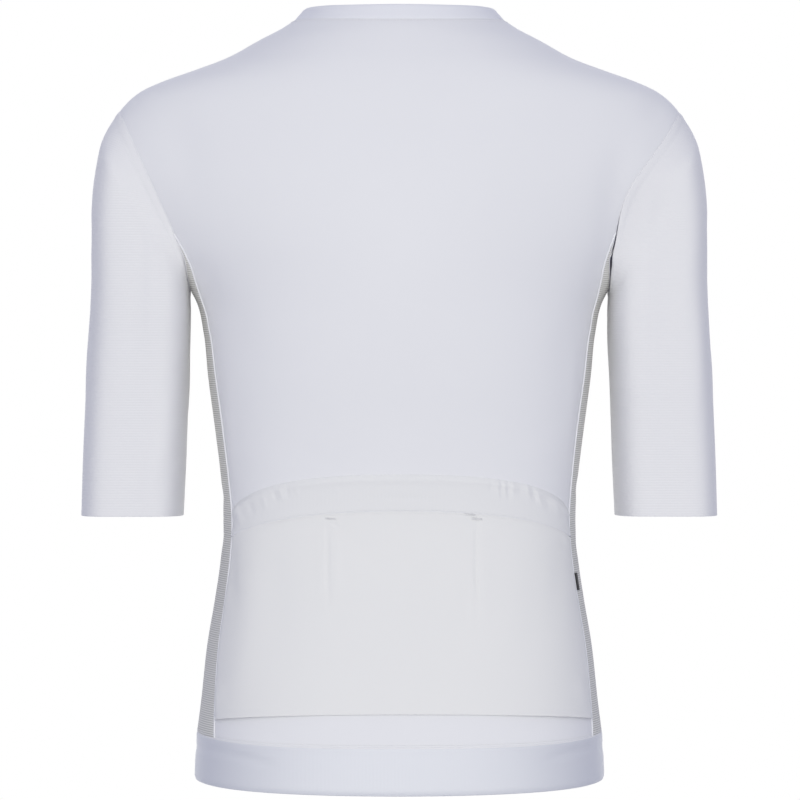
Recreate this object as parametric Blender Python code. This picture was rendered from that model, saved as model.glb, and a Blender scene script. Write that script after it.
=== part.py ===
"""Short-sleeved cycling jersey, race cut, filled out as it is when it is worn.

Frame: metres, +Z up, +X to the wearer's left, -Y to the front. The origin lies between the
shoulders, level with the base of the neck, where the wearer carries the jersey.

The torso is one smooth surface through a short table of rings. A point on it is named by its
angle round the body (0 at the wearer's left side, 90 degrees at the centre back) and by its
height along the rings. Panels are outlines drawn in that angle and height, filled with
triangles, and given a wall towards the inside. The sleeves are lofts from the armhole to the
cuff. Tables are in millimetres; the meshes are in metres.
"""

import math
from collections import namedtuple

import bmesh
import bpy
import numpy as np
from mathutils import Matrix, Vector
from mathutils.geometry import delaunay_2d_cdt

MM = 0.001

# Driving sizes, in millimetres
CLOTH = 1.2             # wall of the knitted body cloth
ELASTIC = 1.6           # wall of the hem band, the pocket band and the collar
SEAM_GAP = 0.3          # clearance between two pieces that are sewn together
HEM_SEAM_Z = -612.0     # seam between the panels and the hem band
HEM_SIDE_RISE = 5.5     # how much higher that seam is at the sides
MESH_STEP = 25.0        # spacing of the points on a panel
EDGE_STEP = 20.0        # spacing of the points along a panel's edges
DOMAIN_RADIUS = 150.0   # turns the angle into a length when a panel is filled
SLEEVE_COLUMNS = 32     # points round the armhole and the sleeve
SHOULDER_SEAM_COLUMN = 30   # armhole point where the shoulder seam ends, forward of the ridge
HORN_BACK_COLUMN = 11   # armhole point where the back seam of the side panel ends
HORN_FRONT_COLUMN = 21  # the same at the front
SHOULDER_NECK_TURN = -24.0  # degrees, where the shoulder seam meets the neck

# How finely a surface is measured, and how its rims are kept clear
TURN_STEP = 0.004       # radians between the points that give a slope round the body
HEIGHT_STEP = 0.5       # the same up the body, in millimetres
SHARE_STEP = 0.02       # the same up the collar, as a share of its height
CLEAR_SHARE = 0.45      # a point inside a panel keeps this share of MESH_STEP to its edges
LONGEST_SHIFT = 1.5     # the most that a corner of a rim moves in for its clearance
STRAIGHT_COSINE = 0.97  # above this a rim point is on a straight run, not at a corner
SHARPEST_SINE2 = 0.05   # the sharpest corner whose two clearances are both kept

# Armhole: it lies near a plane that leans in towards the armpit, with a round scoop below
ARMHOLE_TOP_X = 241.0
ARMHOLE_TOP_Z = -74.0
ARMHOLE_LEAN = 0.46     # millimetres inwards for each millimetre down
ARMHOLE_FOOT_Z = -227.0
SCOOP_START_Z = -198.0
ARMHOLE_SAMPLES = 160

# Zip at the centre front
TAPE_HALF = 5.0         # from the centre line to the front panel's edge
SLIDER_SHARE = 0.45     # the slider's place between the collar's foot and its upper edge
HINGE_RISE = 3.95       # from the tapes' face to the pull's hinge
PULL_LENGTH = 24.0
PULL_WIDTH = 6.0
PULL_THICKNESS = 1.4
PULL_BAR = 1.4          # the bar that the pull hangs by
PULL_HOLE_WIDTH = 3.2
PULL_HOLE_LENGTH = 4.4
PULL_LIFT = 8.0         # degrees that the hanging pull stands off the slider's plate
BRIDGE_WIDTH = 1.8
BRIDGE_BAR = 1.0
BRIDGE_REACH = 3.6      # half the length of the bridge
BRIDGE_CLEARANCE = 1.4  # from the hinge to the underside of the bridge
SLIDER_WIDTH = 8.0
SLIDER_LENGTH = 11.0
SLIDER_HEIGHT = 2.2

# Small plain tab sewn into the side seam, on the wearer's right
TAB_TOP_Z = -469.5
TAB_BOTTOM_Z = -484.0
TAB_WIDTH = 7.0
TAB_THICKNESS = 1.0

Ring = namedtuple("Ring", "side_x side_z back_y back_z front_y front_z square")
TORSO = [
    Ring(176.5, -648.5, 112.0, -652.5, -103.0, -650.0, 0.020),
    Ring(174.6, -612.0, 112.0, -612.0, -104.0, -612.0, 0.020),
    Ring(170.7, -580.0, 109.0, -580.0, -105.0, -580.0, 0.020),
    Ring(165.0, -529.0, 100.0, -529.0, -104.0, -529.0, 0.020),
    Ring(159.0, -494.0, 93.0, -494.0, -102.5, -494.0, 0.020),
    Ring(154.0, -460.0, 87.0, -460.0, -101.0, -460.0, 0.020),
    Ring(151.5, -425.0, 84.0, -425.0, -100.5, -425.0, 0.020),
    Ring(153.5, -390.0, 87.0, -390.0, -102.5, -390.0, 0.020),
    Ring(158.5, -348.0, 94.0, -348.0, -107.0, -348.0, 0.018),
    Ring(164.8, -300.0, 104.0, -300.0, -112.0, -300.0, 0.015),
    Ring(168.5, -264.0, 109.5, -264.0, -115.5, -264.0, 0.010),
    Ring(175.2, -236.0, 112.5, -236.0, -118.0, -236.0, 0.000),
    Ring(188.6, -215.0, 114.0, -215.0, -118.0, -217.0, -0.010),
    Ring(212.0, -190.0, 114.5, -190.0, -116.5, -196.0, -0.020),
    Ring(238.0, -160.0, 113.5, -161.0, -113.0, -171.0, -0.030),
    Ring(256.0, -125.0, 110.0, -128.0, -107.0, -145.0, -0.036),
    Ring(252.0, -95.0, 105.0, -104.0, -100.5, -125.0, -0.036),
    Ring(241.0, -74.0, 100.0, -86.0, -95.0, -110.0, -0.032),
    Ring(225.5, -58.5, 95.5, -69.0, -90.0, -98.0, -0.024),
    Ring(204.0, -48.0, 90.0, -52.0, -85.0, -86.0, -0.014),
    Ring(177.0, -38.5, 84.0, -37.0, -81.0, -76.0, -0.006),
    Ring(148.0, -27.5, 77.0, -23.5, -76.5, -66.5, 0.000),
    Ring(120.0, -12.0, 69.5, -10.0, -71.5, -57.0, 0.000),
    Ring(100.0, -1.5, 65.0, -3.0, -69.0, -51.0, 0.000),
    Ring(90.5, 5.0, 62.0, 1.0, -67.0, -46.0, 0.000),
]
COLLAR_TOP = Ring(81.5, 14.0, 57.0, 14.0, -63.5, -33.0, 0.000)
COLLAR_ROWS = 2

SideSeam = namedtuple("SideSeam", "z back_y front_y")
SIDE_SEAMS = [
    SideSeam(-612.0, 50.0, -43.0),
    SideSeam(-580.0, 43.5, -38.0),
    SideSeam(-529.0, 37.5, -32.5),
    SideSeam(-476.0, 32.5, -28.0),
    SideSeam(-432.0, 30.5, -27.0),
    SideSeam(-388.0, 30.3, -29.0),
    SideSeam(-344.0, 33.0, -31.5),
    SideSeam(-310.0, 34.2, -34.0),
    SideSeam(-279.0, 33.2, -36.5),
    SideSeam(-253.0, 30.5, -39.5),
    SideSeam(-237.0, 29.5, -42.0),
    SideSeam(-223.0, 36.0, -45.0),
    SideSeam(-210.0, 43.0, -47.0),
    SideSeam(-197.0, 47.5, -49.0),
]

PocketEdge = namedtuple("PocketEdge", "centre_z side_drop power")
POCKET_TOP = PocketEdge(-384.0, 31.0, 2.3)
POCKET_BAND_SEAM = PocketEdge(-414.0, 22.0, 2.0)
POCKET_FOOT = PocketEdge(-585.0, 7.0, 2.0)
POCKET_POINTS = 19      # points along each of the pocket's long edges

Section = namedtuple("Section", "outer_x outer_z inner_x inner_z back_y front_y")
SLEEVE = [
    Section(258.5, -108.0, 180.0, -234.0, 52.0, -57.0),
    Section(264.0, -140.0, 179.6, -244.0, 53.0, -59.0),
    Section(265.3, -178.0, 179.8, -257.0, 53.0, -60.0),
    Section(265.0, -218.0, 180.3, -274.0, 52.0, -60.0),
    Section(267.0, -262.0, 181.2, -298.0, 50.0, -59.5),
    Section(269.8, -315.0, 182.4, -332.0, 48.5, -59.0),
    Section(272.2, -368.0, 183.8, -375.0, 47.5, -58.5),
    Section(273.8, -420.5, 186.0, -420.5, 46.5, -58.0),
]
CAP_ROWS = 4            # rows between the armhole and the first section
SLEEVE_ROWS = 11        # rows from the first section to the cuff
CAP_PULL = 38.0         # how far the sleeve goes on in line with the body before it turns
CAP_SHARE = 0.75        # how soon, round the armhole, that gives way to a straight run

COLOURS = {
    "white_knit": ((0.78, 0.78, 0.80, 1.0), 0.75, 0.0),
    "white_elastic": ((0.74, 0.75, 0.79, 1.0), 0.65, 0.0),
    "grey_mesh": ((0.36, 0.36, 0.37, 1.0), 0.80, 0.0),
    "black_tape": ((0.02, 0.02, 0.02, 1.0), 0.60, 0.0),
    "white_zip": ((0.72, 0.72, 0.74, 1.0), 0.50, 0.0),
    "zip_metal": ((0.62, 0.62, 0.63, 1.0), 0.30, 1.0),
}


# --- curves through tables -------------------------------------------------------------------

def knots_along(*tracks):
    """Distance along a set of point tracks, averaged, one value for each row."""
    steps = [np.hypot(*np.diff(np.array(track), axis=0).T) for track in tracks]
    return np.concatenate([[0.0], np.cumsum(np.mean(steps, axis=0))])


def read_smoothly(knots, rows, where):
    """Columns of a table at the places asked for, on a smooth curve through its rows."""
    rows = np.asarray(rows, float)
    where = np.clip(np.asarray(where, float), knots[0], knots[-1])
    spans = np.diff(knots)
    slopes = np.diff(rows, axis=0) / spans[:, None]
    tangents = np.empty_like(rows)
    tangents[0], tangents[-1] = slopes[0], slopes[-1]
    before, after = spans[:-1, None], spans[1:, None]
    tangents[1:-1] = (slopes[:-1] * after + slopes[1:] * before) / (before + after)
    i = np.clip(np.searchsorted(knots, where, side="right") - 1, 0, len(spans) - 1)
    span = spans[i][..., None]
    t = ((where - knots[i]) / spans[i])[..., None]
    return (rows[i] * (1 + 2 * t) * (1 - t) ** 2 + rows[i + 1] * t ** 2 * (3 - 2 * t)
            + span * (tangents[i] * t * (1 - t) ** 2 + tangents[i + 1] * t ** 2 * (t - 1)))


TORSO_KNOTS = knots_along([(r.side_x, r.side_z) for r in TORSO],
                          [(r.back_y, r.back_z) for r in TORSO],
                          [(r.front_y, r.front_z) for r in TORSO])
SLEEVE_KNOTS = knots_along([(s.outer_x, s.outer_z) for s in SLEEVE])
NECK = TORSO_KNOTS[-1]


# --- the torso surface -----------------------------------------------------------------------

def ring_points(ring, angle):
    """Points at the given angles on rings given as an array with Ring's columns."""
    side_x, side_z, back_y, back_z, front_y, front_z, square = np.moveaxis(ring, -1, 0)
    sine, cosine = np.sin(angle), np.cos(angle)
    at_back = sine > 0
    x = side_x * (cosine - square * np.cos(3 * angle)) / (1 - square)
    depth = (sine + square * np.sin(3 * angle)) / (1 - square)
    y = np.where(at_back, back_y, -front_y) * depth
    z = side_z + (np.where(at_back, back_z, front_z) - side_z) * sine ** 2
    return np.stack([x, y, z], axis=-1)


def torso(angle, height):
    """Points of the torso's outer face."""
    return ring_points(read_smoothly(TORSO_KNOTS, TORSO, height), np.asarray(angle, float))


def outward(surface, a, b, step_a, step_b):
    """Unit normals of a surface, from its slopes along its two parameters."""
    along_a = surface(a + step_a, b) - surface(a - step_a, b)
    along_b = surface(a, b + step_b) - surface(a, b - step_b)
    normal = np.cross(along_a, along_b)
    return normal / np.linalg.norm(normal, axis=-1, keepdims=True)


def torso_normal(angle, height):
    height = np.clip(height, HEIGHT_STEP, NECK - HEIGHT_STEP)
    return outward(torso, angle, height, TURN_STEP, HEIGHT_STEP)


def solve(function, low, high, steps=45):
    """Where a function that falls from plus to minus crosses zero, found by halving."""
    low, high = np.array(low, float), np.array(high, float)
    for _ in range(steps):
        middle = (low + high) / 2
        positive = function(middle) > 0
        low, high = np.where(positive, middle, low), np.where(positive, high, middle)
    return (low + high) / 2


def height_at_side(z):
    """Height along the rings at which the wearer's side reaches z."""
    z = np.asarray(z, float)
    return solve(lambda h: z - torso(np.zeros_like(h), h)[..., 2], np.zeros_like(z),
                 np.full_like(z, NECK))


def height_at_back(angle, z):
    """Height along the rings at which the back reaches z at this angle."""
    angle = np.asarray(angle, float)
    return solve(lambda h: z - torso(angle, h)[..., 2], np.zeros_like(angle),
                 np.full_like(angle, NECK))


def angle_at_depth(height, y):
    """Angle, from the left side, at which the ring at this height lies at depth y."""
    turn = math.copysign(1.0, y[0])
    limit = np.full_like(height, math.pi / 2)
    return turn * solve(lambda a: np.abs(y) - np.abs(torso(turn * a, height)[..., 1]),
                        np.zeros_like(height), limit)


def angle_at_front(height, x):
    """Angle at which the front of the ring at this height lies x to the left."""
    height = np.asarray(height, float)
    start, end = np.full_like(height, -math.pi / 2), np.zeros_like(height)
    return solve(lambda a: x - torso(a, height)[..., 0], start, end)


# --- the armhole -----------------------------------------------------------------------------

def armhole_branch(turn):
    """Angle and height of the armhole's edge, from its foot to its top, at the back or front."""
    foot, scoop, top = height_at_side([ARMHOLE_FOOT_Z, SCOOP_START_Z, ARMHOLE_TOP_Z])
    sweep = np.linspace(0, math.pi, ARMHOLE_SAMPLES)
    height = (foot + top) / 2 - (top - foot) / 2 * np.cos(sweep)

    def beyond_plane(angle):
        point = torso(turn * angle, height)
        plane_x = ARMHOLE_TOP_X + ARMHOLE_LEAN * (point[:, 2] - ARMHOLE_TOP_Z)
        return point[:, 0] - plane_x

    angle = solve(beyond_plane, np.zeros_like(height), np.full_like(height, math.pi / 2))
    below = np.clip((scoop - height) / (scoop - foot), 0.0, 1.0)
    angle = angle * np.sqrt(1 - below ** 2)
    angle[0] = angle[-1] = 0.0
    return turn * angle, height


def armhole_loop(columns):
    """Angle and height of evenly turned points round the left armhole.

    Column 0 is at the top; the columns run down the back and come up the front."""
    back_angle, back_height = armhole_branch(1)
    front_angle, front_height = armhole_branch(-1)
    angle = np.concatenate([back_angle[::-1], front_angle[1:-1]])
    height = np.concatenate([back_height[::-1], front_height[1:-1]])
    points = torso(angle, height)
    centre_x = ARMHOLE_TOP_X + ARMHOLE_LEAN * (ARMHOLE_FOOT_Z - ARMHOLE_TOP_Z) / 2
    centre_z = (ARMHOLE_TOP_Z + ARMHOLE_FOOT_Z) / 2
    up_x, up_z = Vector((ARMHOLE_LEAN, 1.0)).normalized()
    rise = (points[:, 0] - centre_x) * up_x + (points[:, 2] - centre_z) * up_z
    turn = np.unwrap(np.arctan2(points[:, 1], rise))
    turn, angle, height = (np.append(a, a[0] + extra) for a, extra in
                           ((turn, 2 * math.pi), (angle, 0.0), (height, 0.0)))
    wanted = turn[0] + np.arange(columns) * 2 * math.pi / columns
    return np.interp(wanted, turn, angle), np.interp(wanted, turn, height)


ARMHOLE_ANGLE, ARMHOLE_HEIGHT = armhole_loop(SLEEVE_COLUMNS)
ARMHOLE_OUT = np.array(Vector((1.0, 0.0, -ARMHOLE_LEAN)).normalized())


# --- the sleeve surface ----------------------------------------------------------------------

def sleeve_section(turn, along):
    """Points of the free sleeve: turn runs round it, along is the place down its table."""
    row = read_smoothly(SLEEVE_KNOTS, SLEEVE, along)
    outer_x, outer_z, inner_x, inner_z, back_y, front_y = np.moveaxis(row, -1, 0)
    across = (1 + np.cos(turn)) / 2
    x = inner_x + (outer_x - inner_x) * across
    z = inner_z + (outer_z - inner_z) * across
    y = (back_y + front_y) / 2 + (back_y - front_y) / 2 * np.sin(turn)
    return np.stack([x, y, z], axis=-1)


def sleeve_grid(cap_rows, rows):
    """Rows of points from the armhole to the cuff, on the outer face of the left sleeve."""
    turn = np.arange(SLEEVE_COLUMNS) * 2 * math.pi / SLEEVE_COLUMNS
    edge = torso(ARMHOLE_ANGLE, ARMHOLE_HEIGHT)
    normal = torso_normal(ARMHOLE_ANGLE, ARMHOLE_HEIGHT)
    along_edge = np.roll(edge, -1, axis=0) - np.roll(edge, 1, axis=0)
    ahead = np.cross(along_edge, normal)
    ahead /= np.linalg.norm(ahead, axis=1, keepdims=True)
    keep = np.clip((1 + np.cos(turn)) * CAP_SHARE, 0.0, 1.0)[:, None]
    start = edge + SEAM_GAP * ARMHOLE_OUT
    first = sleeve_section(turn, np.zeros(SLEEVE_COLUMNS))
    reach = np.linalg.norm(first - start, axis=1, keepdims=True)
    leave = ahead * np.minimum(CAP_PULL, reach) * keep + (first - start) * (1 - keep)
    beyond = sleeve_section(turn, np.full(SLEEVE_COLUMNS, HEIGHT_STEP))
    arrive = (beyond - first) / HEIGHT_STEP * reach
    grid = []
    for row in range(cap_rows):
        t = row / cap_rows
        grid.append(start * (1 + 2 * t) * (1 - t) ** 2 + first * t ** 2 * (3 - 2 * t)
                    + leave * t * (1 - t) ** 2 + arrive * t ** 2 * (t - 1))
    for along in np.linspace(0.0, SLEEVE_KNOTS[-1], rows):
        grid.append(sleeve_section(turn, np.full(SLEEVE_COLUMNS, along)))
    return np.array(grid)


def grid_normals(grid):
    """Outward normals of a tube of points, rows from the armhole down, columns round it."""
    round_it = np.roll(grid, -1, axis=1) - np.roll(grid, 1, axis=1)
    down = np.empty_like(grid)
    down[1:-1] = grid[2:] - grid[:-2]
    down[0], down[-1] = grid[1] - grid[0], grid[-1] - grid[-2]
    normal = np.cross(down, round_it)
    return normal / np.linalg.norm(normal, axis=2, keepdims=True)


# --- outlines and sheets ---------------------------------------------------------------------

Edge = namedtuple("Edge", "points gap")     # a run of (angle, height), and its clearance
Sheet = namedtuple("Sheet", "points normals triangles")


def spaced(start, end, step):
    """Evenly spaced values from start to end, about a step apart."""
    return np.linspace(start, end, max(2, int(math.ceil(abs(end - start) / step)) + 1))


def hem_height(angle):
    """Height of the hem's seam, which rises towards the sides."""
    return float(height_at_side(HEM_SEAM_Z)) + HEM_SIDE_RISE * np.cos(angle) ** 4


def hem_run(start, end):
    """Points along the hem's seam, from one angle to another."""
    angle = spaced(start, end, EDGE_STEP / DOMAIN_RADIUS)
    return np.stack([angle, hem_height(angle)], axis=1)


def side_seam(which):
    """The back or front seam of the left side panel, from the hem up to the armhole."""
    column = HORN_BACK_COLUMN if which == "back_y" else HORN_FRONT_COLUMN
    heights = height_at_side([row.z for row in SIDE_SEAMS])
    depths = np.array([getattr(row, which) for row in SIDE_SEAMS])
    angles = angle_at_depth(heights, depths)
    knots = np.append(heights, ARMHOLE_HEIGHT[column])
    angles = np.append(angles, ARMHOLE_ANGLE[column])
    height = spaced(float(hem_height(angles[0])), knots[-1], EDGE_STEP)
    for edge in (POCKET_TOP, POCKET_BAND_SEAM, POCKET_FOOT):
        corner = float(height_at_side(edge.centre_z - edge.side_drop))
        height[np.abs(height - corner).argmin()] = corner
    angle = read_smoothly(knots, angles[:, None], height)[:, 0]
    return np.stack([angle, height], axis=1)


def armhole_run(first, last):
    """Armhole points from one column to another, counting onwards past the top."""
    columns = np.arange(first, last + 1) % SLEEVE_COLUMNS
    return np.stack([ARMHOLE_ANGLE[columns], ARMHOLE_HEIGHT[columns]], axis=1)


def shoulder_seam():
    """From the armhole to the neck, a little forward of the shoulder's ridge."""
    start = np.array([ARMHOLE_ANGLE[SHOULDER_SEAM_COLUMN], ARMHOLE_HEIGHT[SHOULDER_SEAM_COLUMN]])
    end = np.array([math.radians(SHOULDER_NECK_TURN), NECK])
    share = spaced(0.0, 1.0, EDGE_STEP / (NECK - start[1]))[:, None]
    return start + (end - start) * share


def centre_front(low, high):
    """Edge of the left front panel along the zip."""
    height = spaced(low, high, EDGE_STEP)
    return np.stack([angle_at_front(height, TAPE_HALF), height], axis=1)


def level_run(start, end, height):
    """Points along one ring, from one angle to another."""
    angle = spaced(start, end, EDGE_STEP / DOMAIN_RADIUS)
    return np.stack([angle, np.full_like(angle, height)], axis=1)


def on_right(points):
    """The same run on the wearer's right."""
    return np.stack([math.pi - points[:, 0], points[:, 1]], axis=1)


def pocket_line(edge, side_back):
    """One of the pocket's long edges across the back, from the left seam to the right."""
    corner_height = float(height_at_side(edge.centre_z - edge.side_drop))
    left, height = side_back[np.abs(side_back[:, 1] - corner_height).argmin()]
    angle = np.linspace(left, math.pi - left, POCKET_POINTS)
    share = np.abs(angle - math.pi / 2) / (math.pi / 2 - left)
    z = edge.centre_z - edge.side_drop * share ** edge.power
    line = np.stack([angle, height_at_back(angle, z)], axis=1)
    line[[0, -1], 1] = height
    return line


def inside(points, outline):
    """Which points lie inside a closed outline."""
    x, y = points[:, 0][:, None], points[:, 1][:, None]
    x1, y1 = outline.T
    x2, y2 = np.roll(outline, -1, axis=0).T
    spans = (y1 > y) != (y2 > y)
    crossing = x1 + (y - y1) * (x2 - x1) / np.where(y2 == y1, 1.0, y2 - y1)
    return (spans & (x < crossing)).sum(axis=1) % 2 == 1


def clear_of(points, runs, distance):
    """Which points keep a distance from every segment of some runs of points."""
    clear = np.ones(len(points), bool)
    for run in runs:
        start, end = run[:-1], run[1:]
        along = end - start
        length2 = (along ** 2).sum(axis=1)
        offset = points[:, None, :] - start[None]
        share = np.clip((offset * along).sum(axis=2) / length2, 0, 1)
        gap = np.linalg.norm(offset - share[..., None] * along, axis=2)
        clear &= gap.min(axis=1) > distance
    return clear


def fill(edges, creases=()):
    """Triangles over an outline, with some lines inside it kept as edges.

    Returns the (angle, height) points, the triangles, and each rim point's two clearances."""
    scale = np.array([DOMAIN_RADIUS, 1.0])
    outline = np.concatenate([edge.points[:-1] for edge in edges]) * scale
    gaps = np.concatenate([[edge.gap] * (len(edge.points) - 1) for edge in edges])
    lines = [crease * scale for crease in creases]
    closed = np.concatenate([outline, outline[:1]])
    low, high = outline.min(axis=0), outline.max(axis=0)
    count = np.ceil((high - low) / MESH_STEP).astype(int)
    middle = (low + high) / 2
    axes = [middle[k] + MESH_STEP * (np.arange(count[k] + 1) - count[k] / 2) for k in (0, 1)]
    grid = np.stack(np.meshgrid(*axes), axis=-1).reshape(-1, 2)
    grid = grid[inside(grid, outline)]
    grid = grid[clear_of(grid, [closed] + lines, CLEAR_SHARE * MESH_STEP)]
    points = [outline]
    constraints = [(i, (i + 1) % len(outline)) for i in range(len(outline))]
    total = len(outline)
    for line in lines:
        near = np.linalg.norm(outline[:, None] - line[None, [0, -1]], axis=2)
        ends = near.argmin(axis=0)
        ids = [int(ends[0])] + list(range(total, total + len(line) - 2)) + [int(ends[1])]
        constraints += list(zip(ids[:-1], ids[1:]))
        points.append(line[1:-1])
        total += len(line) - 2
    points.append(grid)
    points = np.concatenate(points)
    verts, _, faces, origin, _, _ = delaunay_2d_cdt([Vector(p) for p in points],
                                                    constraints, [], 1, 1e-6)
    order = [source[0] for source in origin]
    triangles = np.array([[order[i] for i in face] for face in faces])
    return points / scale, triangles, gaps


def rim_shift(points, normals, before, after):
    """How far rim points move in, so that each run of the rim keeps its own clearance."""
    along = np.roll(points, -1, axis=0) - points
    inward = np.cross(normals, along)
    inward /= np.linalg.norm(inward, axis=1, keepdims=True)
    previous = np.roll(inward, 1, axis=0)
    cosine = (inward * previous).sum(axis=1)
    sine2 = np.maximum(1 - cosine ** 2, SHARPEST_SINE2)
    share_next = (after - before * cosine) / sine2
    share_previous = (before - after * cosine) / sine2
    corner = share_next[:, None] * inward + share_previous[:, None] * previous
    straight = inward * ((before + after) / 2)[:, None]
    shift = np.where((cosine > STRAIGHT_COSINE)[:, None], straight, corner)
    length = np.linalg.norm(shift, axis=1, keepdims=True)
    return shift * np.minimum(1.0, LONGEST_SHIFT / np.maximum(length, SEAM_GAP / 10))


def panel_sheet(edges, creases=()):
    """A panel of the torso as points, normals and triangles, with its rim moved in."""
    flat, triangles, gaps = fill(edges, creases)
    points = torso(flat[:, 0], flat[:, 1])
    normals = torso_normal(flat[:, 0], flat[:, 1])
    rim = len(gaps)
    points[:rim] += rim_shift(points[:rim], normals[:rim], np.roll(gaps, 1), gaps)
    return Sheet(points, normals, triangles), flat


def rim_loop(triangles):
    """The rim of a patch of triangles, as point numbers in order."""
    edges = {}
    for a, b, c in triangles:
        for pair in ((a, b), (b, c), (c, a)):
            edges[pair] = True
    following = {a: b for a, b in edges if (b, a) not in edges}
    start = min(following)
    loop = [start]
    while following[loop[-1]] != start:
        loop.append(following[loop[-1]])
    return loop


def patch_of(sheet, chosen, gap):
    """Some of a sheet's triangles as a sheet of their own, with a clearance round the rim."""
    triangles = sheet.triangles[chosen]
    used = np.unique(triangles)
    renumber = {int(old): new for new, old in enumerate(used)}
    triangles = np.array([[renumber[int(i)] for i in t] for t in triangles])
    points, normals = sheet.points[used].copy(), sheet.normals[used]
    rim = rim_loop(triangles.tolist())
    clearances = np.full(len(rim), gap)
    points[rim] += rim_shift(points[rim], normals[rim], clearances, clearances)
    return Sheet(points, normals, triangles)


# --- meshes ----------------------------------------------------------------------------------

def material(slot):
    colour, roughness, metallic = COLOURS[slot]
    made = bpy.data.materials.get(slot) or bpy.data.materials.new(slot)
    made.use_nodes = True
    shader = made.node_tree.nodes["Principled BSDF"]
    shader.inputs["Base Color"].default_value = colour
    shader.inputs["Roughness"].default_value = roughness
    shader.inputs["Metallic"].default_value = metallic
    return made


def make_object(name, vertices, faces, slot, smooth=True):
    """A mesh object from points in millimetres."""
    mesh = bpy.data.meshes.new(name)
    mesh.from_pydata([tuple(MM * v for v in p) for p in vertices], [],
                     [tuple(int(i) for i in face) for face in faces])
    mesh.materials.append(material(slot))
    if smooth:
        mesh.shade_smooth()
        mesh.set_sharp_from_angle(angle=math.radians(40))
    made = bpy.data.objects.new(name, mesh)
    bpy.context.collection.objects.link(made)
    return made


def wall(name, sheet, slot, thickness, above=0.0):
    """A sheet given a wall. Its outer face lies above the sheet's points by the given height,
    which is 0 for a panel and more for a piece laid on one."""
    outer = sheet.points + above * sheet.normals
    inner = outer - thickness * sheet.normals
    count = len(outer)
    faces = [tuple(t) for t in sheet.triangles]
    faces += [(a + count, c + count, b + count) for a, b, c in sheet.triangles]
    rim = rim_loop(sheet.triangles.tolist())
    for a, b in zip(rim, rim[1:] + rim[:1]):
        faces += [(b, a, a + count), (b, a + count, b + count)]
    return make_object(name, np.concatenate([outer, inner]), faces, slot)


def grid_sheet(points, normals):
    """Rows and columns of points as a sheet: rows run up, columns run round to the left."""
    rows, columns, _ = points.shape
    triangles = []
    for row in range(rows - 1):
        for column in range(columns - 1):
            a = row * columns + column
            b, c, d = a + 1, a + columns + 1, a + columns
            triangles += [(a, b, c), (a, c, d)]
    return Sheet(points.reshape(-1, 3), normals.reshape(-1, 3), np.array(triangles))


def mirror_sheet(sheet):
    """The same sheet on the wearer's right."""
    flip = np.array([-1.0, 1.0, 1.0])
    return Sheet(sheet.points * flip, sheet.normals * flip, sheet.triangles[:, ::-1])


def tube_mesh(grid, thickness):
    """Points and faces of a wall round a tube whose rows run down, with both ends open."""
    rows, columns, _ = grid.shape
    inner = grid - thickness * grid_normals(grid)
    count = rows * columns
    faces = []
    for row in range(rows - 1):
        for column in range(columns):
            a, b = row * columns + column, row * columns + (column + 1) % columns
            c, d = b + columns, a + columns
            faces += [(a, c, b), (a, d, c)]
            faces += [(a + count, b + count, c + count), (a + count, c + count, d + count)]
    last = count - columns
    for column in range(columns):
        following = (column + 1) % columns
        faces += [(column, following, following + count),
                  (column, following + count, column + count)]
        a, b = last + following, last + column
        faces += [(a, b, b + count), (a, b + count, a + count)]
    return np.concatenate([grid.reshape(-1, 3), inner.reshape(-1, 3)]), faces


# --- the pieces ------------------------------------------------------------------------------

def make_back(side_back, shoulder):
    """The back panel, with the pocket and its elastic band laid on it from its own points."""
    half = SEAM_GAP / 2
    armhole = armhole_run(SHOULDER_SEAM_COLUMN, HORN_BACK_COLUMN + SLEEVE_COLUMNS)
    edges = [
        Edge(hem_run(side_back[0, 0], math.pi - side_back[0, 0]), half),
        Edge(on_right(side_back), half),
        Edge(on_right(armhole[::-1]), 0.0),
        Edge(on_right(shoulder), half),
        Edge(level_run(math.pi - shoulder[-1, 0], shoulder[-1, 0], NECK), 0.0),
        Edge(shoulder[::-1], half),
        Edge(armhole, 0.0),
        Edge(side_back[::-1], half),
    ]
    lines = [pocket_line(edge, side_back) for edge in (POCKET_FOOT, POCKET_BAND_SEAM, POCKET_TOP)]
    sheet, flat = panel_sheet(edges, lines)
    wall("back", sheet, "white_knit", CLOTH)

    middle = flat[sheet.triangles].mean(axis=1)
    foot, seam, top = (np.interp(middle[:, 0], line[:, 0], line[:, 1]) for line in lines)
    in_pocket = (middle[:, 1] > foot) & (middle[:, 1] < seam)
    in_band = (middle[:, 1] > seam) & (middle[:, 1] < top)
    wall("pocket_panel", patch_of(sheet, in_pocket, half), "white_knit", CLOTH,
         SEAM_GAP + CLOTH)
    wall("pocket_band", patch_of(sheet, in_band, half), "white_elastic", ELASTIC,
         SEAM_GAP + ELASTIC)


def make_fronts(side_front, shoulder):
    """The left and right front panels, from the side panel to the zip."""
    half = SEAM_GAP / 2
    zip_edge = centre_front(float(height_at_side(HEM_SEAM_Z)), NECK)
    edges = [
        Edge(hem_run(zip_edge[0, 0], side_front[0, 0]), half),
        Edge(side_front, half),
        Edge(armhole_run(HORN_FRONT_COLUMN, SHOULDER_SEAM_COLUMN), 0.0),
        Edge(shoulder, half),
        Edge(level_run(shoulder[-1, 0], zip_edge[-1, 0], NECK), 0.0),
        Edge(zip_edge[::-1], half),
    ]
    sheet, _ = panel_sheet(edges)
    wall("front_left", sheet, "white_knit", CLOTH)
    wall("front_right", mirror_sheet(sheet), "white_knit", CLOTH)


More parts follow.
